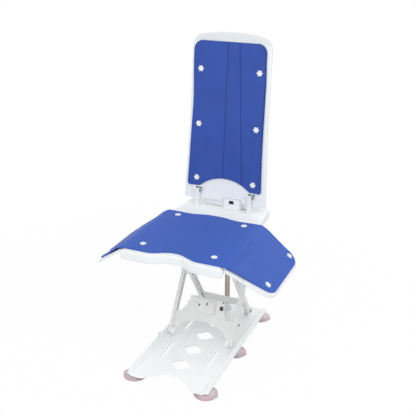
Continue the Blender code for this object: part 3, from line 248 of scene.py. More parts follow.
rubberSet = dict(pale=(0.82, 0.715, 0.745), deep=(0.66, 0.53, 0.57), gloss=0.34, cloud=(46.0, 4.0, 0.6),
                 dust=(620.0, 2.0), heights=(0.001, 0.014), heightShare=0.55, toneRange=(0.2, 0.8),
                 cloudGloss=0.25, dustGloss=0.08, dustBump=0.6, bump=0.18, depth=0.0008)


def cupRubber(name, look):
    # soft clouded rubber, deeper in tone towards its rim, lightly see-through
    made, shader, pen = newFinish(name, Transmission_Weight=0.22, IOR=1.42, Subsurface_Weight=0.25,
                                  Subsurface_Scale=0.01)
    place = pen.coords()
    cloud = place.noise(*look["cloud"])
    dust = place.noise(*look["dust"])
    height = place.part(2).ramp(*look["heights"])
    tone = (height * look["heightShare"] + cloud * (1 - look["heightShare"])).ramp(*look["toneRange"])
    pen.put(shader.inputs["Base Color"], tone.between(tint(look["deep"]), tint(look["pale"])))
    pen.put(shader.inputs["Roughness"], look["gloss"] + (cloud - 0.5) * look["cloudGloss"]
            + dust * look["dustGloss"])
    pen.put(shader.inputs["Normal"], (dust * look["dustBump"] + cloud).bump(look["bump"], look["depth"]))
    return made


steelSet = {
    "pin": dict(light=(0.42, 0.45, 0.43), shade=(0.20, 0.235, 0.22), gloss=0.30, stretch=(5.0, 70.0, 70.0)),
    "hinge": dict(light=(0.30, 0.37, 0.34), shade=(0.10, 0.145, 0.125), gloss=0.34, stretch=(9.0, 60.0, 60.0)),
}
drawnSet = dict(lines=(30.0, 3.0, 0.6), spots=(85.0, 4.0, 0.6), spotRange=(0.55, 0.72), lineShare=0.7,
                toneRange=(0.2, 0.75), lineGloss=0.14, spotGloss=0.16, bump=0.10, depth=0.0003)
columnSet = dict(grey=(0.50, 0.50, 0.465), brown=(0.42, 0.255, 0.145), gloss=0.26, axisY=0.2575,
                 facing=math.radians(-68.3), stretch=(60.0, 60.0, 4.0), rub=(70.0, 4.0, 0.6), fray=0.5,
                 brownReflectionRange=(-0.25, 0.55), brownReflectionShare=0.9, metal=0.75, metalLoss=0.35, rubGloss=0.12)


def drawnSteel(name, look):
    # drawn rod or strap: fine lines along its length, a few dull spots
    made, shader, pen = newFinish(name, Metallic=1.0)
    place = pen.coords()
    drawn = drawnSet
    lines = place.stretch(look["stretch"]).noise(*drawn["lines"])
    spots = place.noise(*drawn["spots"]).ramp(*drawn["spotRange"])
    tone = (lines * drawn["lineShare"] + spots * (1 - drawn["lineShare"])).ramp(*drawn["toneRange"])
    pen.put(shader.inputs["Base Color"], tone.between(tint(look["light"]), tint(look["shade"])))
    pen.put(shader.inputs["Roughness"], look["gloss"] + lines * drawn["lineGloss"] + spots * drawn["spotGloss"])
    pen.put(shader.inputs["Normal"], lines.bump(drawn["bump"], drawn["depth"]))
    return made


def columnSteel(name, look):
    # round tube with a painted reflection, brown down three sides: cos 3a round its axis, turned to one facing,
    # with drawing lines and rub marks
    made, shader, pen = newFinish(name)
    place = pen.coords()
    east, north = place.part(0), place.part(1) - look["axisY"]
    reach = pen.calc("SQRT", east * east + north * north)
    facing = (east * math.cos(look["facing"]) + north * math.sin(look["facing"])) / reach
    band = facing * facing * facing * 4 - facing * 3
    drawn = drawnSet
    lines = place.stretch(look["stretch"]).noise(*drawn["lines"])
    rubbed = place.noise(*look["rub"])
    # painted reflection: brown bands round the tube, less metallic where they fall
    brownReflection = (band * -1 + (lines - 0.5) * look["fray"]).ramp(*look["brownReflectionRange"])
    tone = brownReflection * look["brownReflectionShare"] + rubbed * (1 - look["brownReflectionShare"])
    pen.put(shader.inputs["Base Color"], tone.between(tint(look["grey"]), tint(look["brown"])))
    pen.put(shader.inputs["Metallic"], look["metal"] - brownReflection * look["metalLoss"])
    pen.put(shader.inputs["Roughness"], look["gloss"] + lines * drawn["lineGloss"] + rubbed * look["rubGloss"])
    pen.put(shader.inputs["Normal"], lines.bump(drawn["bump"], drawn["depth"]))
    return made


darkSet = dict(deep=(0.030, 0.024, 0.020), worn=(0.105, 0.085, 0.070), gloss=0.46, cloud=(90.0, 4.0, 0.6),
               grain=(1300.0, 2.0), wornRange=(0.3, 0.75), grainGloss=0.2, bump=0.15, depth=0.0005)


def darkPlastic(name, look):
    # dark moulding, worn paler in clouds, with a fine grain
    made, shader, pen = newFinish(name)
    place = pen.coords()
    grain = place.noise(*look["grain"])
    tone = place.noise(*look["cloud"]).ramp(*look["wornRange"])
    pen.put(shader.inputs["Base Color"], tone.between(tint(look["deep"]), tint(look["worn"])))
    pen.put(shader.inputs["Roughness"], look["gloss"] + (grain - 0.5) * look["grainGloss"])
    pen.put(shader.inputs["Normal"], grain.bump(look["bump"], look["depth"]))
    return made


finishes = {
    "white_plastic": mouldedPlastic("whitePlastic", plasticSet["white"]),
    "shell_plastic": mouldedPlastic("shellPlastic", plasticSet["white"], crownPaintedShade),
    "base_plastic": mouldedPlastic("basePlastic", plasticSet["base"]),
    # painted light: the lower glides sit in the seat's shade and take the brighter base plastic in place of the
    # white
    "glide_plastic": mouldedPlastic("glidePlastic", plasticSet["base"]),
    "frame_plastic": mouldedPlastic("framePlastic", plasticSet["frame"]),
    "back_cover": foamCover("backBlue", coverSet["back"]),
    "seat_cover": foamCover("seatBlue", coverSet["seat"]),
    "flap_cover": foamCover("flapBlue", coverSet["flap"]),
    "cup_rubber": cupRubber("cupRubber", rubberSet),
    "column_steel": columnSteel("columnSteel", columnSet),
    "pin_steel": drawnSteel("pinSteel", steelSet["pin"]),
    "hinge_steel": drawnSteel("hingeSteel", steelSet["hinge"]),
    "dark_plastic": darkPlastic("darkPlastic", darkSet),
}
print("finishes:", len(finishes))


# mesh tools

mergeSet = dict(grid=1e-6, solid=2e-6)


def smoothStep(value, start=0.0, length=1.0):  # climbs from 0 to 1 over a length
    share = np.clip((value - start) / length, 0, 1)
    return share * share * (3 - 2 * share)


def quadsOf(index):  # faces of a grid of vertex numbers
    return np.stack([index[:-1, :-1], index[1:, :-1], index[1:, 1:], index[:-1, 1:]], -1).reshape(-1, 4)


def meshOf(name, points, faces, uv=None):
    mesh = bpy.data.meshes.new(name)
    mesh.from_pydata(points.reshape(-1, 3), [], faces.tolist())
    if uv is not None:
        corners = np.empty(len(mesh.loops), np.int32)
        mesh.loops.foreach_get("vertex_index", corners)
        layer = mesh.uv_layers.new(name="lay")
        layer.data.foreach_set("uv", uv.reshape(-1, 2)[corners].astype(np.float32).ravel())
    mesh.update()
    return mesh


def merged(mesh, distance, outwards=False):  # closes seams and poles, and can turn faces outwards
    shape = bmesh.new()
    shape.from_mesh(mesh)
    bmesh.ops.remove_doubles(shape, verts=shape.verts, dist=distance)
    if outwards:
        bmesh.ops.recalc_face_normals(shape, faces=shape.faces)
    shape.to_mesh(mesh)
    shape.free()
    return mesh


def placed(name, mesh, finish, body=None, stands=()):
    mesh.materials.clear()
    mesh.materials.append(finishes[finish])
    mesh.shade_smooth()
    piece = bpy.data.objects.new(name, mesh)
    scene.collection.objects.link(piece)
    if body:
        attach(piece, body)
    if stands:
        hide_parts(*stands)
    return piece


def settled(piece):  # bakes the modifiers into the mesh
    seen = piece.evaluated_get(bpy.context.evaluated_depsgraph_get())
    mesh = bpy.data.meshes.new_from_object(seen)
    piece.modifiers.clear()
    piece.data = mesh


def rounding(piece, width, segments, angle=None):  # of edges past an angle, or else by their weights
    edge = piece.modifiers.new("edge", "BEVEL")
    edge.width = width
    edge.segments = segments
    edge.limit_method = "ANGLE" if angle else "WEIGHT"
    if angle:
        edge.angle_limit = math.radians(angle)
    edge.use_clamp_overlap = False


def gridOf(points):  # vertex numbers of a grid of points
    return np.arange(points.shape[0] * points.shape[1]).reshape(points.shape[:2])


def gridPiece(name, points, finish, body, stands=()):
    mesh = meshOf(name, points, quadsOf(gridOf(points)))
    placed(name, merged(mesh, mergeSet["grid"], outwards=True), finish, body, stands)


# moulded parts: a merged copy of each CAD solid, its edges softened

softenSet = dict(angle=38, segments=2, crisp=50, least=1e-12)
softened = [  # node, finish, body, edge radius
    ("base_plate", "base_plastic", "base", 0.0007),
    ("column_foot", "white_plastic", "base", 0.0008),
    ("column_cap", "white_plastic", "base", 0.0006),
    ("lift_column", "column_steel", "base", 0.0003),
    ("inner_frame", "frame_plastic", "inner_frame", 0.0010),
    ("upper_left_glide", "white_plastic", "inner_frame", 0.0006),
    ("upper_right_glide", "white_plastic", "inner_frame", 0.0006),
    ("outer_frame", "frame_plastic", "outer_frame", 0.0010),
    ("drive_cover", "frame_plastic", "outer_frame", 0.0010),
    # painted light: brighter plastic on the shaded lower glides
    ("lower_left_glide", "glide_plastic", "outer_frame", 0.0006),
    ("lower_right_glide", "glide_plastic", "outer_frame", 0.0006),
    ("seat_tray", "white_plastic", "seat", 0.0008),
    ("drive_housing", "white_plastic", "seat", 0.0010),
    ("control_socket", "dark_plastic", "seat", 0.0004),
    ("flap_plate_left", "white_plastic", "flap_left", 0.0006),
    ("flap_plate_right", "white_plastic", "flap_right", 0.0006),
    ("backrest_shell", "shell_plastic", "backrest", 0.0008),
]
for side in ("left", "right"):
    softened += [(f"lower_pivot_pin_{side}", "pin_steel", "base", 0.0004),
                 (f"centre_pivot_pin_{side}", "pin_steel", "outer_frame", 0.0004),
                 (f"upper_pivot_pin_{side}", "pin_steel", "seat", 0.0004),
                 (f"flap_hinge_rod_{side}", "pin_steel", "seat", 0.0003),
                 (f"backrest_hinge_pin_{side}", "pin_steel", "backrest", 0.0003)]


def camelName(node):
    first, *rest = node.split("_")
    return first + "".join(word.capitalize() for word in rest)


def evenNormals(mesh, limit):
    # each face corner takes the mean normal, weighted by area, of the faces round its vertex that lean
    # less than the limit from its own face
    vertex = np.empty(len(mesh.loops), np.int32)
    mesh.loops.foreach_get("vertex_index", vertex)
    sides, area = np.empty(len(mesh.polygons), np.int32), np.empty(len(mesh.polygons))
    normal = np.empty(len(mesh.polygons) * 3)
    mesh.polygons.foreach_get("loop_total", sides)
    mesh.polygons.foreach_get("area", area)
    mesh.polygons.foreach_get("normal", normal)
    normal = normal.reshape(-1, 3)
    face = np.repeat(np.arange(len(sides)), sides)
    order = np.argsort(vertex, kind="stable")
    first = np.searchsorted(vertex[order], vertex)
    many = np.bincount(vertex)[vertex]
    start = np.cumsum(many) - many
    corner = np.repeat(np.arange(len(vertex)), many)
    other = face[order[first[corner] + np.arange(len(corner)) - start[corner]]]
    close = (normal[face[corner]] * normal[other]).sum(1) > math.cos(limit)
    weight = area[other] * close + softenSet["least"] * (face[corner] == other)
    total = np.add.reduceat(normal[other] * weight[:, None], start)
    mesh.normals_split_custom_set(total / np.linalg.norm(total, axis=1, keepdims=True))


def softCopy(node, finish, body, radius):
    # the copy's vertices are merged first, so that its edges can be rounded
    mesh = merged(cadNodes[node].data.copy(), mergeSet["solid"])
    piece = placed(camelName(node), mesh, finish, body, [node])
    rounding(piece, radius, softenSet["segments"], softenSet["angle"])
    settled(piece)
    evenNormals(piece.data, math.radians(softenSet["crisp"]))


for row in softened:
    softCopy(*row)
print("moulded parts:", len(softened))


# blue covers

sheetSet = dict(thick=0.0037, edge=0.0012, edgeSegments=3, valley=0.55)
seatSet = dict(top=0.47995, front=-0.239, rear=0.1155, split=0.163,
               recess=0.030, recessNear=0.006, recessFar=0.092, bulge=0.0135, bulgeNear=0.020, bulgeFar=0.096,
               flare=0.0025, flareFrom=0.100, swell=0.0007, swellPower=0.5, ripple=0.0004, ripplePower=6, waves=3,
               columns=124, rows=112, hem=0.006, buttonX=0.131, buttonY={"front": -0.189, "rear": 0.083})
foldSet = dict(axisX=0.1843, axisZ=0.47395, reach=0.0060, droop=math.radians(36.7), zone=0.0063, bend=0.018,
               levelColumns=24, bendColumns=15)
flapSet = dict(span=0.177, tipFront=-0.1615, rear=0.1145, frontCorner=0.047, rearCorner=0.047, rows=96,
               rearStep=0.0055, stepFrom=0.05, stepLength=0.08, joinFrom=-0.024, joinLength=0.03,
               hump=0.0026, humpAt=0.026, humpReach=0.026, lift=0.0040, liftAt=0.048, liftReach=0.050,
               liftDepth=0.09, easeIn=0.014, swell=0.0006, groovePitch=0.005, grooves=3, grooveWidth=0.0019,
               grooveDepth=0.0007, grooveLoss=0.7, lossFrom=0.45, lossLength=0.4, fineStep=0.0006, fineTo=0.030,
               coarseGap=0.001, coarseColumns=50, cornerColumns=24, hem=0.008, buttonOut=0.143,
               buttonY={"front": -0.143, "rear": 0.088})
buttonSet = dict(radius=0.0057, petal=0.0059, petals=6, blunt=0.7, height=0.0032, sink=0.0009, crease=0.42,
                 around=73, dimple=0.0009, dimpleWidth=0.013)


def dimples(across, along, buttons):  # sum of round hollows under the buttons
    total = np.zeros_like(across)
    for x, y in buttons:
        square = (across - x) ** 2 + (along - y) ** 2
        total -= buttonSet["dimple"] * np.exp(-square / buttonSet["dimpleWidth"] ** 2)
    return total


def groove(distance, width, depth):  # rounded valley
    return -depth * np.exp(-(distance / (width * sheetSet["valley"])) ** 2)


def sheetSolid(name, finish, top, normal, uv, joins=()):
    # closed sheet: the face grid, the same grid moved down its normals, and a wall round the border;
    # every border edge is rounded but those of the rows named in joins, where another sheet goes on
    under = top - normal * sheetSet["thick"]
    upper = gridOf(top)
    count = upper.size
    border = np.concatenate([upper[0, :-1], upper[:-1, -1], upper[-1, :0:-1], upper[:0:-1, 0]])
    following = np.roll(border, -1)
    wall = np.stack([border, following, following + count, border + count], -1)
    faces = np.concatenate([quadsOf(upper), quadsOf(upper + count)[:, ::-1], wall])
    mesh = meshOf(name, np.concatenate([top.reshape(-1, 3), under.reshape(-1, 3)]), faces,
                  np.concatenate([uv.reshape(-1, 2)] * 2))
    piece = placed(name, merged(mesh, mergeSet["grid"], outwards=True), finish)
    rounding(piece, sheetSet["edge"], sheetSet["edgeSegments"])
    joined = np.isin(border, upper[list(joins)]) & np.isin(following, upper[list(joins)])
    code = [2 * count, 1]  # makes one number of an edge's two ends
    free = np.stack([border, following], -1)[~joined]
    free = np.sort(np.concatenate([free, free + count]), 1) @ code
    ends = np.empty(len(piece.data.edges) * 2, np.int32)
    piece.data.edges.foreach_get("vertices", ends)
    ends = np.sort(ends.reshape(-1, 2), 1).astype(np.int64) @ code
    weight = piece.data.attributes.new("bevel_weight_edge", "FLOAT", "EDGE")
    weight.data.foreach_set("value", np.isin(ends, free).astype(np.float32))
    return piece


def seatFront(x):  # steps back in the middle
    middle = 1 - smoothStep(np.abs(x), seatSet["recessNear"], seatSet["recessFar"] - seatSet["recessNear"])
    return seatSet["front"] + seatSet["recess"] * middle


def seatRear(x):  # bulges in the middle and flares a little towards the flaps
    middle = 1 - smoothStep(np.abs(x), seatSet["bulgeNear"], seatSet["bulgeFar"] - seatSet["bulgeNear"])
    ends = smoothStep(np.abs(x), seatSet["flareFrom"], seatSet["split"] - seatSet["flareFrom"])
    return seatSet["rear"] + seatSet["bulge"] * middle + seatSet["flare"] * ends


def makeSeatCover():
    # face height over (x, y): level, a slow swell, a ripple at the front, hollows at the buttons
    split, hem = seatSet["split"], seatSet["hem"]
    x = np.linspace(-split, split, seatSet["columns"])
    b = np.concatenate([[0], np.linspace(hem, 1 - hem, seatSet["rows"]), [1]])
    across = np.repeat(x[:, None], len(b), 1)
    along = seatFront(across) + (seatRear(across) - seatFront(across)) * b[None]
    dome = np.sin(math.pi * b)[None] * np.cos(across / split * math.pi / 2) ** seatSet["swellPower"]
    waves = np.sin(across * math.tau * seatSet["waves"] / split) * (1 - b[None]) ** seatSet["ripplePower"]
    buttons = [(side * seatSet["buttonX"], y) for side in (-1, 1) for y in seatSet["buttonY"].values()]
    height = seatSet["top"] + seatSet["swell"] * dome + seatSet["ripple"] * waves + dimples(across, along, buttons)
    top = np.stack([across, along, height], -1)
    normal = np.zeros_like(top)
    normal[..., 2] = 1
    cover = sheetSolid("seatCover", "seat_cover", top, normal, np.stack([across, along], -1), (0, -1))
    settled(cover)
    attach(cover, "seat")
    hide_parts("seat_cover")


def flapFront(t):  # slanting front edge that turns through a round corner into the tip
    corner = flapSet["frontCorner"]
    slope = (flapSet["tipFront"] - seatSet["front"]) / (flapSet["span"] - foldSet["zone"])
    line = seatSet["front"] + slope * np.maximum(t - foldSet["zone"], 0)
    lean = math.hypot(1, slope)
    middle = flapSet["span"] - corner
    centre = seatSet["front"] + slope * (middle - foldSet["zone"]) + corner * lean
    arc = centre - np.sqrt(np.maximum(corner ** 2 - (t - middle) ** 2, 0))
    return np.where(t > middle + corner * slope / lean, arc, line)


def flapRear(t):  # a little wider beside the seat, then a round corner into the tip
    corner = flapSet["rearCorner"]
    middle = flapSet["span"] - corner
    step = 1 - smoothStep(t, flapSet["stepFrom"], flapSet["stepLength"])
    rear = flapSet["rear"] + flapSet["rearStep"] * step
    beside = seatSet["rear"] + seatSet["flare"]
    joining = 1 - smoothStep(t, flapSet["joinFrom"], flapSet["joinLength"])
    rear += (beside - flapSet["rear"] - flapSet["rearStep"]) * joining
    arc = rear - corner + np.sqrt(np.maximum(corner ** 2 - np.maximum(t - middle, 0) ** 2, 0))
    return np.where(t > middle, arc, rear)


def flapColumns():
    # columns of the face from the seat's split outwards, each with its lean, its place in the row frame,
    # its reach t along the flap from the fold and its unrolled length u
    droop, bend = foldSet["droop"], foldSet["bend"]
    level, curved = foldSet["levelColumns"], foldSet["bendColumns"]
    corner = foldSet["reach"] * math.tan(droop / 2)  # where the two flat faces would meet
    early = bend * math.tan(droop / 2)
    middle = flapSet["span"] - flapSet["frontCorner"]
    turn = np.linspace(0, math.pi / 2, flapSet["cornerColumns"])[1:]
    late = np.concatenate([np.arange(flapSet["fineStep"], flapSet["fineTo"], flapSet["fineStep"]),
                           np.linspace(flapSet["fineTo"] + flapSet["coarseGap"], middle, flapSet["coarseColumns"]),
                           middle + flapSet["frontCorner"] * np.sin(turn)])
    late = late[late > early - corner]
    straight = np.linspace(seatSet["split"] - foldSet["axisX"], corner - early, level)
    lean = np.concatenate([np.zeros(level), np.linspace(0, droop, curved + 1)[1:], np.full(len(late), droop)])
    flat = np.concatenate([straight, np.full(curved + len(late), corner - early)])
    down = np.concatenate([np.zeros(level + curved), late - early + corner])
    x = foldSet["axisX"] + flat + bend * np.sin(lean) + down * math.cos(droop)
    z = foldSet["axisZ"] + foldSet["reach"] - bend * (1 - np.cos(lean)) - down * math.sin(droop)
    t = (x - foldSet["axisX"]) * math.cos(droop) - (z - foldSet["axisZ"]) * math.sin(droop)
    outer = late[np.maximum(np.arange(len(lean)) - level - curved, 0)]
    t = np.where(lean < droop, np.minimum(t, late[0]), outer)
    return lean, x, z, t, flat + bend * lean + down


def makeFlapCover(name, side):
    # face over (u, y), u unrolled from the seat's split: level, then a round bend, then down the flap;
    # past the bend the stiff sheet arches clear of the flap before it lies down, most at its front edge
    lean, faceX, faceZ, t, u = flapColumns()
    b = np.concatenate([[0], np.linspace(flapSet["hem"], 1 - flapSet["hem"], flapSet["rows"]), [1]])
    front = flapFront(np.maximum(t, 0))
    along = front[:, None] + (flapRear(t) - front)[:, None] * b
    spread = np.repeat(u[:, None], len(b), 1)
    out = np.repeat(np.maximum(t, 0)[:, None], len(b), 1)
    nearFront = smoothStep(1 - (along - front[:, None]) / flapSet["liftDepth"])
    arch = flapSet["hump"] * np.exp(-((out - flapSet["humpAt"]) / flapSet["humpReach"]) ** 2)
    arch += flapSet["lift"] * np.exp(-((out - flapSet["liftAt"]) / flapSet["liftReach"]) ** 2) * nearFront
    arch *= smoothStep(out, 0, flapSet["easeIn"])
    swell = np.sin(math.pi * b)[None] * np.sin(math.pi * np.clip(out / flapSet["span"], 0, 1))
    valleys = np.zeros_like(spread)
    for count in range(flapSet["grooves"]):
        beyond = out - foldSet["zone"] - (count + 1) * flapSet["groovePitch"]
        valleys += groove(beyond, flapSet["grooveWidth"], flapSet["grooveDepth"])
    # shallower towards the rear
    valleys *= 1 - flapSet["grooveLoss"] * smoothStep(b[None], flapSet["lossFrom"], flapSet["lossLength"])
    buttons = [(flapSet["buttonOut"], y) for y in flapSet["buttonY"].values()]
    height = flapSet["swell"] * swell + arch + valleys + dimples(out, along, buttons)
    level = np.zeros_like(spread)
    normal = np.stack([side * np.sin(lean)[:, None] + level, level, np.cos(lean)[:, None] + level], -1)
    top = np.stack([side * faceX[:, None] + level, along, faceZ[:, None] + level], -1) + normal * height[..., None]
    cover = sheetSolid(f"flapCover{name.capitalize()}", "flap_cover", top, normal,
                       np.stack([spread, along], -1), (0,))
    settled(cover)
    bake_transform(cover)
    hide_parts(f"flap_cover_{name}", f"fold_bead_{name}")


backSet = dict(originY=0.209, originZ=0.54295, tilt=math.radians(6.19), face=-0.0006, bottom=0.0147, top=0.5547,
               bottomX=0.147, waistX=0.1405, topX=0.139, waist=0.25, topCorner=0.034, bottomCorner=0.010,
               leftMore=0.0035, leftWaist=0.0050, leftWaistAt=0.335, leftWaistReach=0.10,
               rightTop=0.0032, rightTopFrom=0.40, rightTopLength=0.12,
               archX=0.100, archRise=0.039, archSoft=0.0022, archFade=0.16,
               grooves=((-0.0085, -0.011), (0.070, 0.032)), grooveWidth=0.0030, grooveDepth=0.0015,
               dish=0.0008, dishX=0.14, dishLevel=0.6, curl=0.0016, curlWidth=0.018, rows=120, columns=44,
               cornerRows=14, close=0.06, closeColumns=11, hem=0.012,
               buttonX=0.113, buttonUp={"low": 0.0457, "middle": 0.2517, "high": 0.4537})


def backPlace(x, along, out):  # backrest's own plane to the row frame
    lean = backSet["tilt"]
    return np.stack([x, backSet["originY"] + along * math.sin(lean) - out * math.cos(lean),
                     backSet["originZ"] + along * math.cos(lean) + out * math.sin(lean)], -1)


def backHalfWidth(height):  # narrows to a waist, then more slowly to the top, with round corners
    toWaist = np.sin(np.clip(height / backSet["waist"], 0, 1) * math.pi / 2)
    toTop = np.clip((height - backSet["waist"]) / (backSet["top"] - backSet["waist"]), 0, 1)
    below = backSet["bottomX"] + (backSet["waistX"] - backSet["bottomX"]) * toWaist
    above = (backSet["topX"] - backSet["waistX"]) * toTop
    low, high = backSet["bottomCorner"], backSet["topCorner"]
    lowIn = low - np.sqrt(np.maximum(low ** 2 - np.maximum(backSet["bottom"] + low - height, 0) ** 2, 0))
    highIn = high - np.sqrt(np.maximum(high ** 2 - np.maximum(height - backSet["top"] + high, 0) ** 2, 0))
    return below + above - lowIn - highIn


def backKnots(height):  # across each row: left edge, two long grooves, right edge
    width = backHalfWidth(height)
    share = (height - backSet["bottom"]) / (backSet["top"] - backSet["bottom"])
    leftIn = backSet["leftWaist"] * np.exp(-((height - backSet["leftWaistAt"]) / backSet["leftWaistReach"]) ** 2)
    rightIn = backSet["rightTop"] * smoothStep(height, backSet["rightTopFrom"], backSet["rightTopLength"])
    grooves = [bottomX + (topX - bottomX) * share for bottomX, topX in backSet["grooves"]]
    return [-width - backSet["leftMore"] + leftIn, *grooves, width - rightIn]


def makeBackCover():
    # rows climb from the arched lower edge to the top; columns follow the side edges and the grooves,
    # close together beside the grooves
    radius = (backSet["archX"] ** 2 + backSet["archRise"] ** 2) / (2 * backSet["archRise"])
    low, high = backSet["bottomCorner"], backSet["topCorner"]
    turn = np.linspace(0, math.pi / 2, backSet["cornerRows"])
    height = np.concatenate([backSet["bottom"] + low * (1 - np.cos(turn)),
                             np.linspace(backSet["bottom"] + low, backSet["top"] - high, backSet["rows"])[1:-1],
                             backSet["top"] - high * (1 - np.sin(turn))])
    knots = backKnots(height)
    close = np.linspace(0, backSet["close"], backSet["closeColumns"])[1:]
    wide = np.linspace(backSet["close"], 1 - backSet["close"], backSet["columns"])[1:-1]
    spans = [np.concatenate([[0, backSet["hem"]], wide, 1 - close[::-1], [1]]),
             np.concatenate([close, wide, 1 - close[::-1], [1]]),
             np.concatenate([close, wide, [1 - backSet["hem"], 1]])]
    x = np.concatenate([near[:, None] + (far - near)[:, None] * span
                        for near, far, span in zip(knots, knots[1:], spans)], 1)
    rise = np.sqrt(np.maximum(radius ** 2 - x ** 2, 0)) + backSet["archRise"] - radius
    # softens the corner where the arch meets the lobe
    rise = np.logaddexp(0, rise / backSet["archSoft"]) * backSet["archSoft"]
    fade = 1 - smoothStep(height, backSet["bottom"], backSet["archFade"])
    along = height[:, None] + rise * fade[:, None]
    edge = np.minimum(x - knots[0][:, None], knots[-1][:, None] - x)
    out = backSet["face"] + backSet["dish"] * ((x / backSet["dishX"]) ** 2 - backSet["dishLevel"])
    out += backSet["curl"] * smoothStep(1 - edge / backSet["curlWidth"])
    for knot in knots[1:-1]:
        out += groove(x - knot[:, None], backSet["grooveWidth"], backSet["grooveDepth"])
    buttons = [(side * backSet["buttonX"], up) for side in (-1, 1) for up in backSet["buttonUp"].values()]
    out += dimples(x, along, buttons)
    top = backPlace(x, along, out)
    normal = np.zeros_like(top)
    normal[..., 1] = -math.cos(backSet["tilt"])
    normal[..., 2] = math.sin(backSet["tilt"])
    cover = sheetSolid("backCover", "back_cover", top, normal, np.stack([x, along], -1))
    settled(cover)
    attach(cover, "backrest")
    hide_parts("backrest_cover")


makeSeatCover()
makeFlapCover("left", -1)
makeFlapCover("right", 1)
makeBackCover()
print("covers: seat, two flaps, backrest")


# star buttons

buttonRows = np.array([  # share of the outline, share of the height
    (1.0, 0.35), (0.985, 0.60), (0.93, 0.82), (0.82, 0.95), (0.66, 1.0),
    (0.5, 1.0), (0.34, 0.97), (0.2, 0.88), (0.1, 0.80), (0.0, 0.78)])


def starButton(family, node, place, name, centre, sideways, upright, body):
    # six-petal head: outline radius = r + p |cos 3a|^blunt, domed rows from the sunk foot to a small dimple
    # in the middle, with a crease between petals that is deepest half way in
    look = buttonSet
    angle = np.linspace(0, math.tau, look["around"])
    outline = look["radius"] + look["petal"] * np.abs(np.cos(look["petals"] / 2 * angle)) ** look["blunt"]
    share = np.concatenate([[1.0], buttonRows[:, 0]])
    level = np.concatenate([[-look["sink"]], buttonRows[:, 1] * look["height"]])
    between = 0.5 - 0.5 * np.cos(look["petals"] * angle)
    crease = look["crease"] * look["height"] * between * (level > 0)[:, None] * (share * (1 - share) * 4)[:, None]
    flat = share[:, None] * outline
    points = (np.array(centre) + (flat * np.cos(angle))[..., None] * np.array(sideways)
              + (flat * np.sin(angle))[..., None] * np.cross(upright, sideways)
              + (level[:, None] - crease)[..., None] * np.array(upright))
    foot = np.repeat(points[:1].mean(1, keepdims=True), len(angle), 1)
    gridPiece(f"{family}Button{place.capitalize()}{name.capitalize()}", np.concatenate([foot, points]),
              "white_plastic", body, [f"{node}_button_{place}_{name}"])


def makeButtons():
    droop, tilt = foldSet["droop"], backSet["tilt"]
    for name, side in (("left", -1), ("right", 1)):
        outward = np.array([side * math.cos(droop), 0, -math.sin(droop)])
        upright = np.array([side * math.sin(droop), 0, math.cos(droop)])
        fold = np.array([side * foldSet["axisX"], 0, foldSet["axisZ"]])
        for place, y in seatSet["buttonY"].items():
            starButton("seat", "seat", place, name, (side * seatSet["buttonX"], y, seatSet["top"]), (1, 0, 0),
                       (0, 0, 1), "seat")
        for place, y in flapSet["buttonY"].items():
            centre = fold + np.array([0, y, 0]) + flapSet["buttonOut"] * outward + foldSet["reach"] * upright
            starButton("flap", "flap", place, name, centre, outward, upright, f"flap_{name}")
        for place, up in backSet["buttonUp"].items():
            centre = backPlace(np.array(side * backSet["buttonX"]), np.array(up), np.array(backSet["face"]))
            starButton("back", "backrest", place, name, centre, (1, 0, 0),
                       np.array([0, -math.cos(tilt), math.sin(tilt)]), "backrest")


makeButtons()
print("star buttons: 14")


# suction cups

cupSet = dict(x=0.1366, pitch=0.272, radius=0.042, neck=0.012, stem=0.005, topZ=0.0147, stemTop=0.0185,
              stemEdge=0.0008, tab=0.003, tabWidth=0.014, tabBlunt=0.62, tabPower=6, ribs=36, rib=0.00022,
              around=145)


def cupProfile(look):
    # rows of radius, height, share of the tab and share of the ribs: down the stem, over the dome to the rim,
    # then back up inside
    top, stem, stemTop, edge = look["topZ"], look["stem"], look["stemTop"], look["stemEdge"]
    shaft = [(0, stemTop, 0, 0), (stem * 0.8, stemTop, 0, 0), (stem, stemTop - edge, 0, 0),
             (stem, top + 0.0003, 0, 0), (stem + edge, top, 0, 0), (look["neck"], top, 0, 0)]
    dome = [(0.0155, top - 0.0006, 0, 0.3), (0.019, top - 0.0020, 0, 1), (0.024, top - 0.0040, 0, 1),
            (0.029, top - 0.0062, 0, 1), (0.033, top - 0.0082, 0, 1), (0.0365, top - 0.0100, 0, 0.6),
            (0.0390, top - 0.0110, 0.1, 0)]
    rim = [(0.0405, 0.0034, 0.6, 0), (0.0413, 0.0033, 0.92, 0), (0.0419, 0.0028, 1, 0),
           (look["radius"], 0.0016, 1, 0), (0.0418, 0.0007, 1, 0), (0.0410, 0.0002, 0.9, 0),
           (0.0395, 0.0, 0.3, 0), (0.0385, 0.0, 0, 0)]
    inside = [(0.0345, 0.0026, 0, 0), (0.029, top - 0.0105, 0, 0), (0.019, top - 0.0064, 0, 0),
              (0.008, top - 0.0050, 0, 0), (0, top - 0.0048, 0, 0)]
    return np.array(shaft + dome + rim + inside)


def makeCup(node, x, y, side):
    # profile turned round the stem; the rim swells out into a pull tab on the outer side, fine ribs on the dome
    look = cupSet
    angle = np.linspace(0, math.tau, look["around"])
    facing = 0 if side > 0 else math.pi
    bearing = np.angle(np.exp(1j * (angle - facing)))
    aside = bearing * look["radius"] / (look["tabWidth"] * look["tabBlunt"])
    tab = look["tab"] * np.exp(-aside ** look["tabPower"])
    table = cupProfile(look)
    radius = table[:, 0, None] + table[:, 2, None] * tab
    height = table[:, 1, None] + table[:, 3, None] * look["rib"] * np.cos(look["ribs"] * angle)
    points = np.stack([x + radius * np.cos(angle), y + radius * np.sin(angle), height], -1)
    gridPiece(camelName(node), points, "cup_rubber", "base", [node])


for row, y in (("front", -1), ("middle", 0), ("rear", 1)):
    for name, side in (("left", -1), ("right", 1)):
        makeCup(f"suction_cup_{row}_{name}", side * cupSet["x"], y * cupSet["pitch"], side)
print("suction cups: 6")


# hinge straps: thin steel over the top of each ear, and round the backrest's boss to the right of it

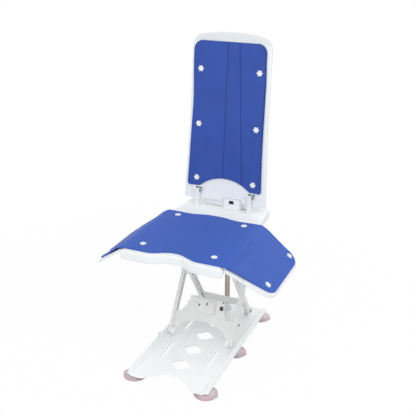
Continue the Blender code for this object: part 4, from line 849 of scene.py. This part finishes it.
strapSet = {
    "saddle": dict(body="seat", shift=0.0, half=0.0052, radius=0.0106, sweep=(-62, 62)),
    "sleeve": dict(body="backrest", shift=0.0127, half=0.0042, radius=0.0087, sweep=(-30, 150)),
}
strapWall = dict(thick=0.0009, edge=0.0002, earX=0.1055, steps=30, columns=(-1, -0.9, 0, 0.9, 1))


def makeStrap(name, look, centre):
    # arc strip round the hinge axis: angle along, width across
    angle = np.radians(np.linspace(*look["sweep"], strapWall["steps"]))
    across = np.array(strapWall["columns"]) * look["half"] + centre + look["shift"]
    x = np.repeat(across[None], len(angle), 0)
    out = np.repeat((look["radius"] * np.sin(angle))[:, None], len(across), 1)
    along = np.repeat((look["radius"] * np.cos(angle))[:, None], len(across), 1)
    points = backPlace(x, along, out)
    piece = placed(name, meshOf(name, points, quadsOf(gridOf(points))), "hinge_steel", look["body"])
    wall = piece.modifiers.new("wall", "SOLIDIFY")
    wall.thickness = strapWall["thick"]
    wall.offset = 0
    rounding(piece, strapWall["edge"], segments=2, angle=60)


for kind, look in strapSet.items():
    makeStrap(f"hinge{kind.capitalize()}Left", look, -strapWall["earX"])
    makeStrap(f"hinge{kind.capitalize()}Right", look, strapWall["earX"])
print("hinge straps: 4")


# small pads on the drive panel and the base

panelSet = dict(pivotY=0.245, arm=0.4635, footZ=0.038, lean=math.radians(56.6))
panelPads = [  # name, finish, centre across and along, half sizes, low, high, squareness
    ("switchFrame", "frame_plastic", (0.0600, 0.1187), (0.0125, 0.0120), 0.0070, 0.0102, 6),
    ("switchFace", "dark_plastic", (0.0615, 0.1190), (0.0072, 0.0080), 0.0098, 0.0108, 6),
    ("cableBoss", "frame_plastic", (-0.0500, 0.1330), (0.0150, 0.0110), 0.0070, 0.0150, 3),
    ("latchLeft", "dark_plastic", (-0.0265, 0.1155), (0.0026, 0.0050), 0.0160, 0.0176, 4),
    ("latchRight", "dark_plastic", (0.0040, 0.1245), (0.0024, 0.0062), 0.0160, 0.0176, 4),
    ("latchBar", "frame_plastic", (0.0170, 0.1260), (0.0070, 0.0030), 0.0160, 0.0192, 3),
    ("cornerClip", "dark_plastic", (0.0640, 0.1420), (0.0032, 0.0028), 0.0080, 0.0104, 3),
]
screwPad = ((0.0930, 0.1490), (0.0034, 0.0048), 0.0195, 0.0212, 2)  # the same, from the centre on
ribSet = dict(x=0.061, y=-0.030, half=0.0045, length=0.250, foot=0.0200, top=0.0226, square=6)
padAround = 61
padRows = np.array([  # share of the outline, share of the height
    (0, 0), (1, 0), (1, 0.70), (0.985, 0.86), (0.94, 0.95), (0.86, 0.985), (0.6, 1), (0.3, 1), (0, 1)])


def panelPlace(x, along, out):  # the leaning panel's own plane to the row frame
    lean = panelSet["lean"]
    footY = panelSet["pivotY"] - panelSet["arm"] * math.cos(lean)
    return np.stack([x, footY + along * math.cos(lean) - out * math.sin(lean),
                     panelSet["footZ"] + along * math.sin(lean) + out * math.cos(lean)], -1)


def basePlace(x, y, z):  # the base stands level in the row frame
    return np.stack([x, y, z], -1)


def makePad(name, finish, centre, half, low, high, power, place, body):
    # superellipse outline in rows that rise from the foot and close over a domed top
    angle = np.linspace(0, math.tau, padAround)
    ring = [np.sign(wave) * np.abs(wave) ** (2 / power) for wave in (np.cos(angle), np.sin(angle))]
    level = low + (high - low) * padRows[:, 1]
    x = centre[0] + half[0] * padRows[:, :1] * ring[0]
    y = centre[1] + half[1] * padRows[:, :1] * ring[1]
    gridPiece(name, place(x, y, np.repeat(level[:, None], len(angle), 1)), finish, body)


for pad in panelPads:
    makePad(*pad, panelPlace, "outer_frame")
for name, side in (("Left", -1), ("Right", 1)):
    makePad(f"baseRib{name}", "base_plastic", (side * ribSet["x"], ribSet["y"]),
            (ribSet["half"], ribSet["length"] / 2), ribSet["foot"], ribSet["top"], ribSet["square"],
            basePlace, "base")
makePad("baseScrew", "dark_plastic", *screwPad, basePlace, "base")
print("pads:", len(panelPads), "on the panel, 3 on the base")


# floor, world and lights

floorSet = dict(size=80.0, pale=(0.86, 0.87, 0.88), glow=0.96, fade=(0.9, 2.2), drop=0.0004)


def seenDirect(pen):  # 1 where the camera, or a mirror or glass, looks at it
    path = pen.node("ShaderNodeLightPath", {}, {}, "Is Camera Ray")
    seen = path.socket.node.outputs
    return (path + Wire(pen.tree, seen["Is Glossy Ray"]) + Wire(pen.tree, seen["Is Transmission Ray"])).limit()


def makeFloor(look):
    half = look["size"] / 2
    corner = np.array([-half, half])
    points = np.stack([*np.meshgrid(corner, corner, indexing="ij"), np.full((2, 2), -look["drop"])], -1)
    mesh = meshOf("floor", points, np.array([[0, 2, 3, 1]]))
    made = bpy.data.materials.new("paleFloor")
    made.use_nodes = True
    pen = Wire(made.node_tree)
    made.node_tree.nodes.clear()
    clear = seenDirect(pen)
    # the floor turns wholly white away from the object, so no horizon shows
    spot = pen.coords()
    away = pen.node("ShaderNodeVectorMath", {"operation": "LENGTH"}, {0: spot}, "Value").ramp(*look["fade"])
    clear = clear * (away * (1 - look["glow"]) + look["glow"])
    matte = pen.node("ShaderNodeBsdfDiffuse", {}, {"Color": tint(look["pale"])})
    white = pen.node("ShaderNodeEmission", {}, {"Color": tint((1, 1, 1)), "Strength": 1.0})
    mixed = pen.node("ShaderNodeMixShader", {}, {0: clear, 1: matte, 2: white})
    end = made.node_tree.nodes.new("ShaderNodeOutputMaterial")
    made.node_tree.links.new(mixed.socket, end.inputs["Surface"])
    floor = bpy.data.objects.new("floor", mesh)
    mesh.materials.append(made)
    scene.collection.objects.link(floor)


def makeWorld(strength):
    world = bpy.data.worlds.new("studio")
    world.use_nodes = True
    scene.world = world
    pen = Wire(world.node_tree)
    clear = seenDirect(pen)
    sky = world.node_tree.nodes["Background"]
    sky.inputs["Color"].default_value = (1, 1, 1, 1)
    pen.put(sky.inputs["Strength"], clear * (1 - strength) + strength)


makeFloor(floorSet)
makeWorld(lightSet["world"])
makeCamera(viewSet)
for name in ("key", "fill", "top", "rim"):
    areaLight(f"{name}Light", lightSet[name])

scene.view_settings.view_transform = "Standard"
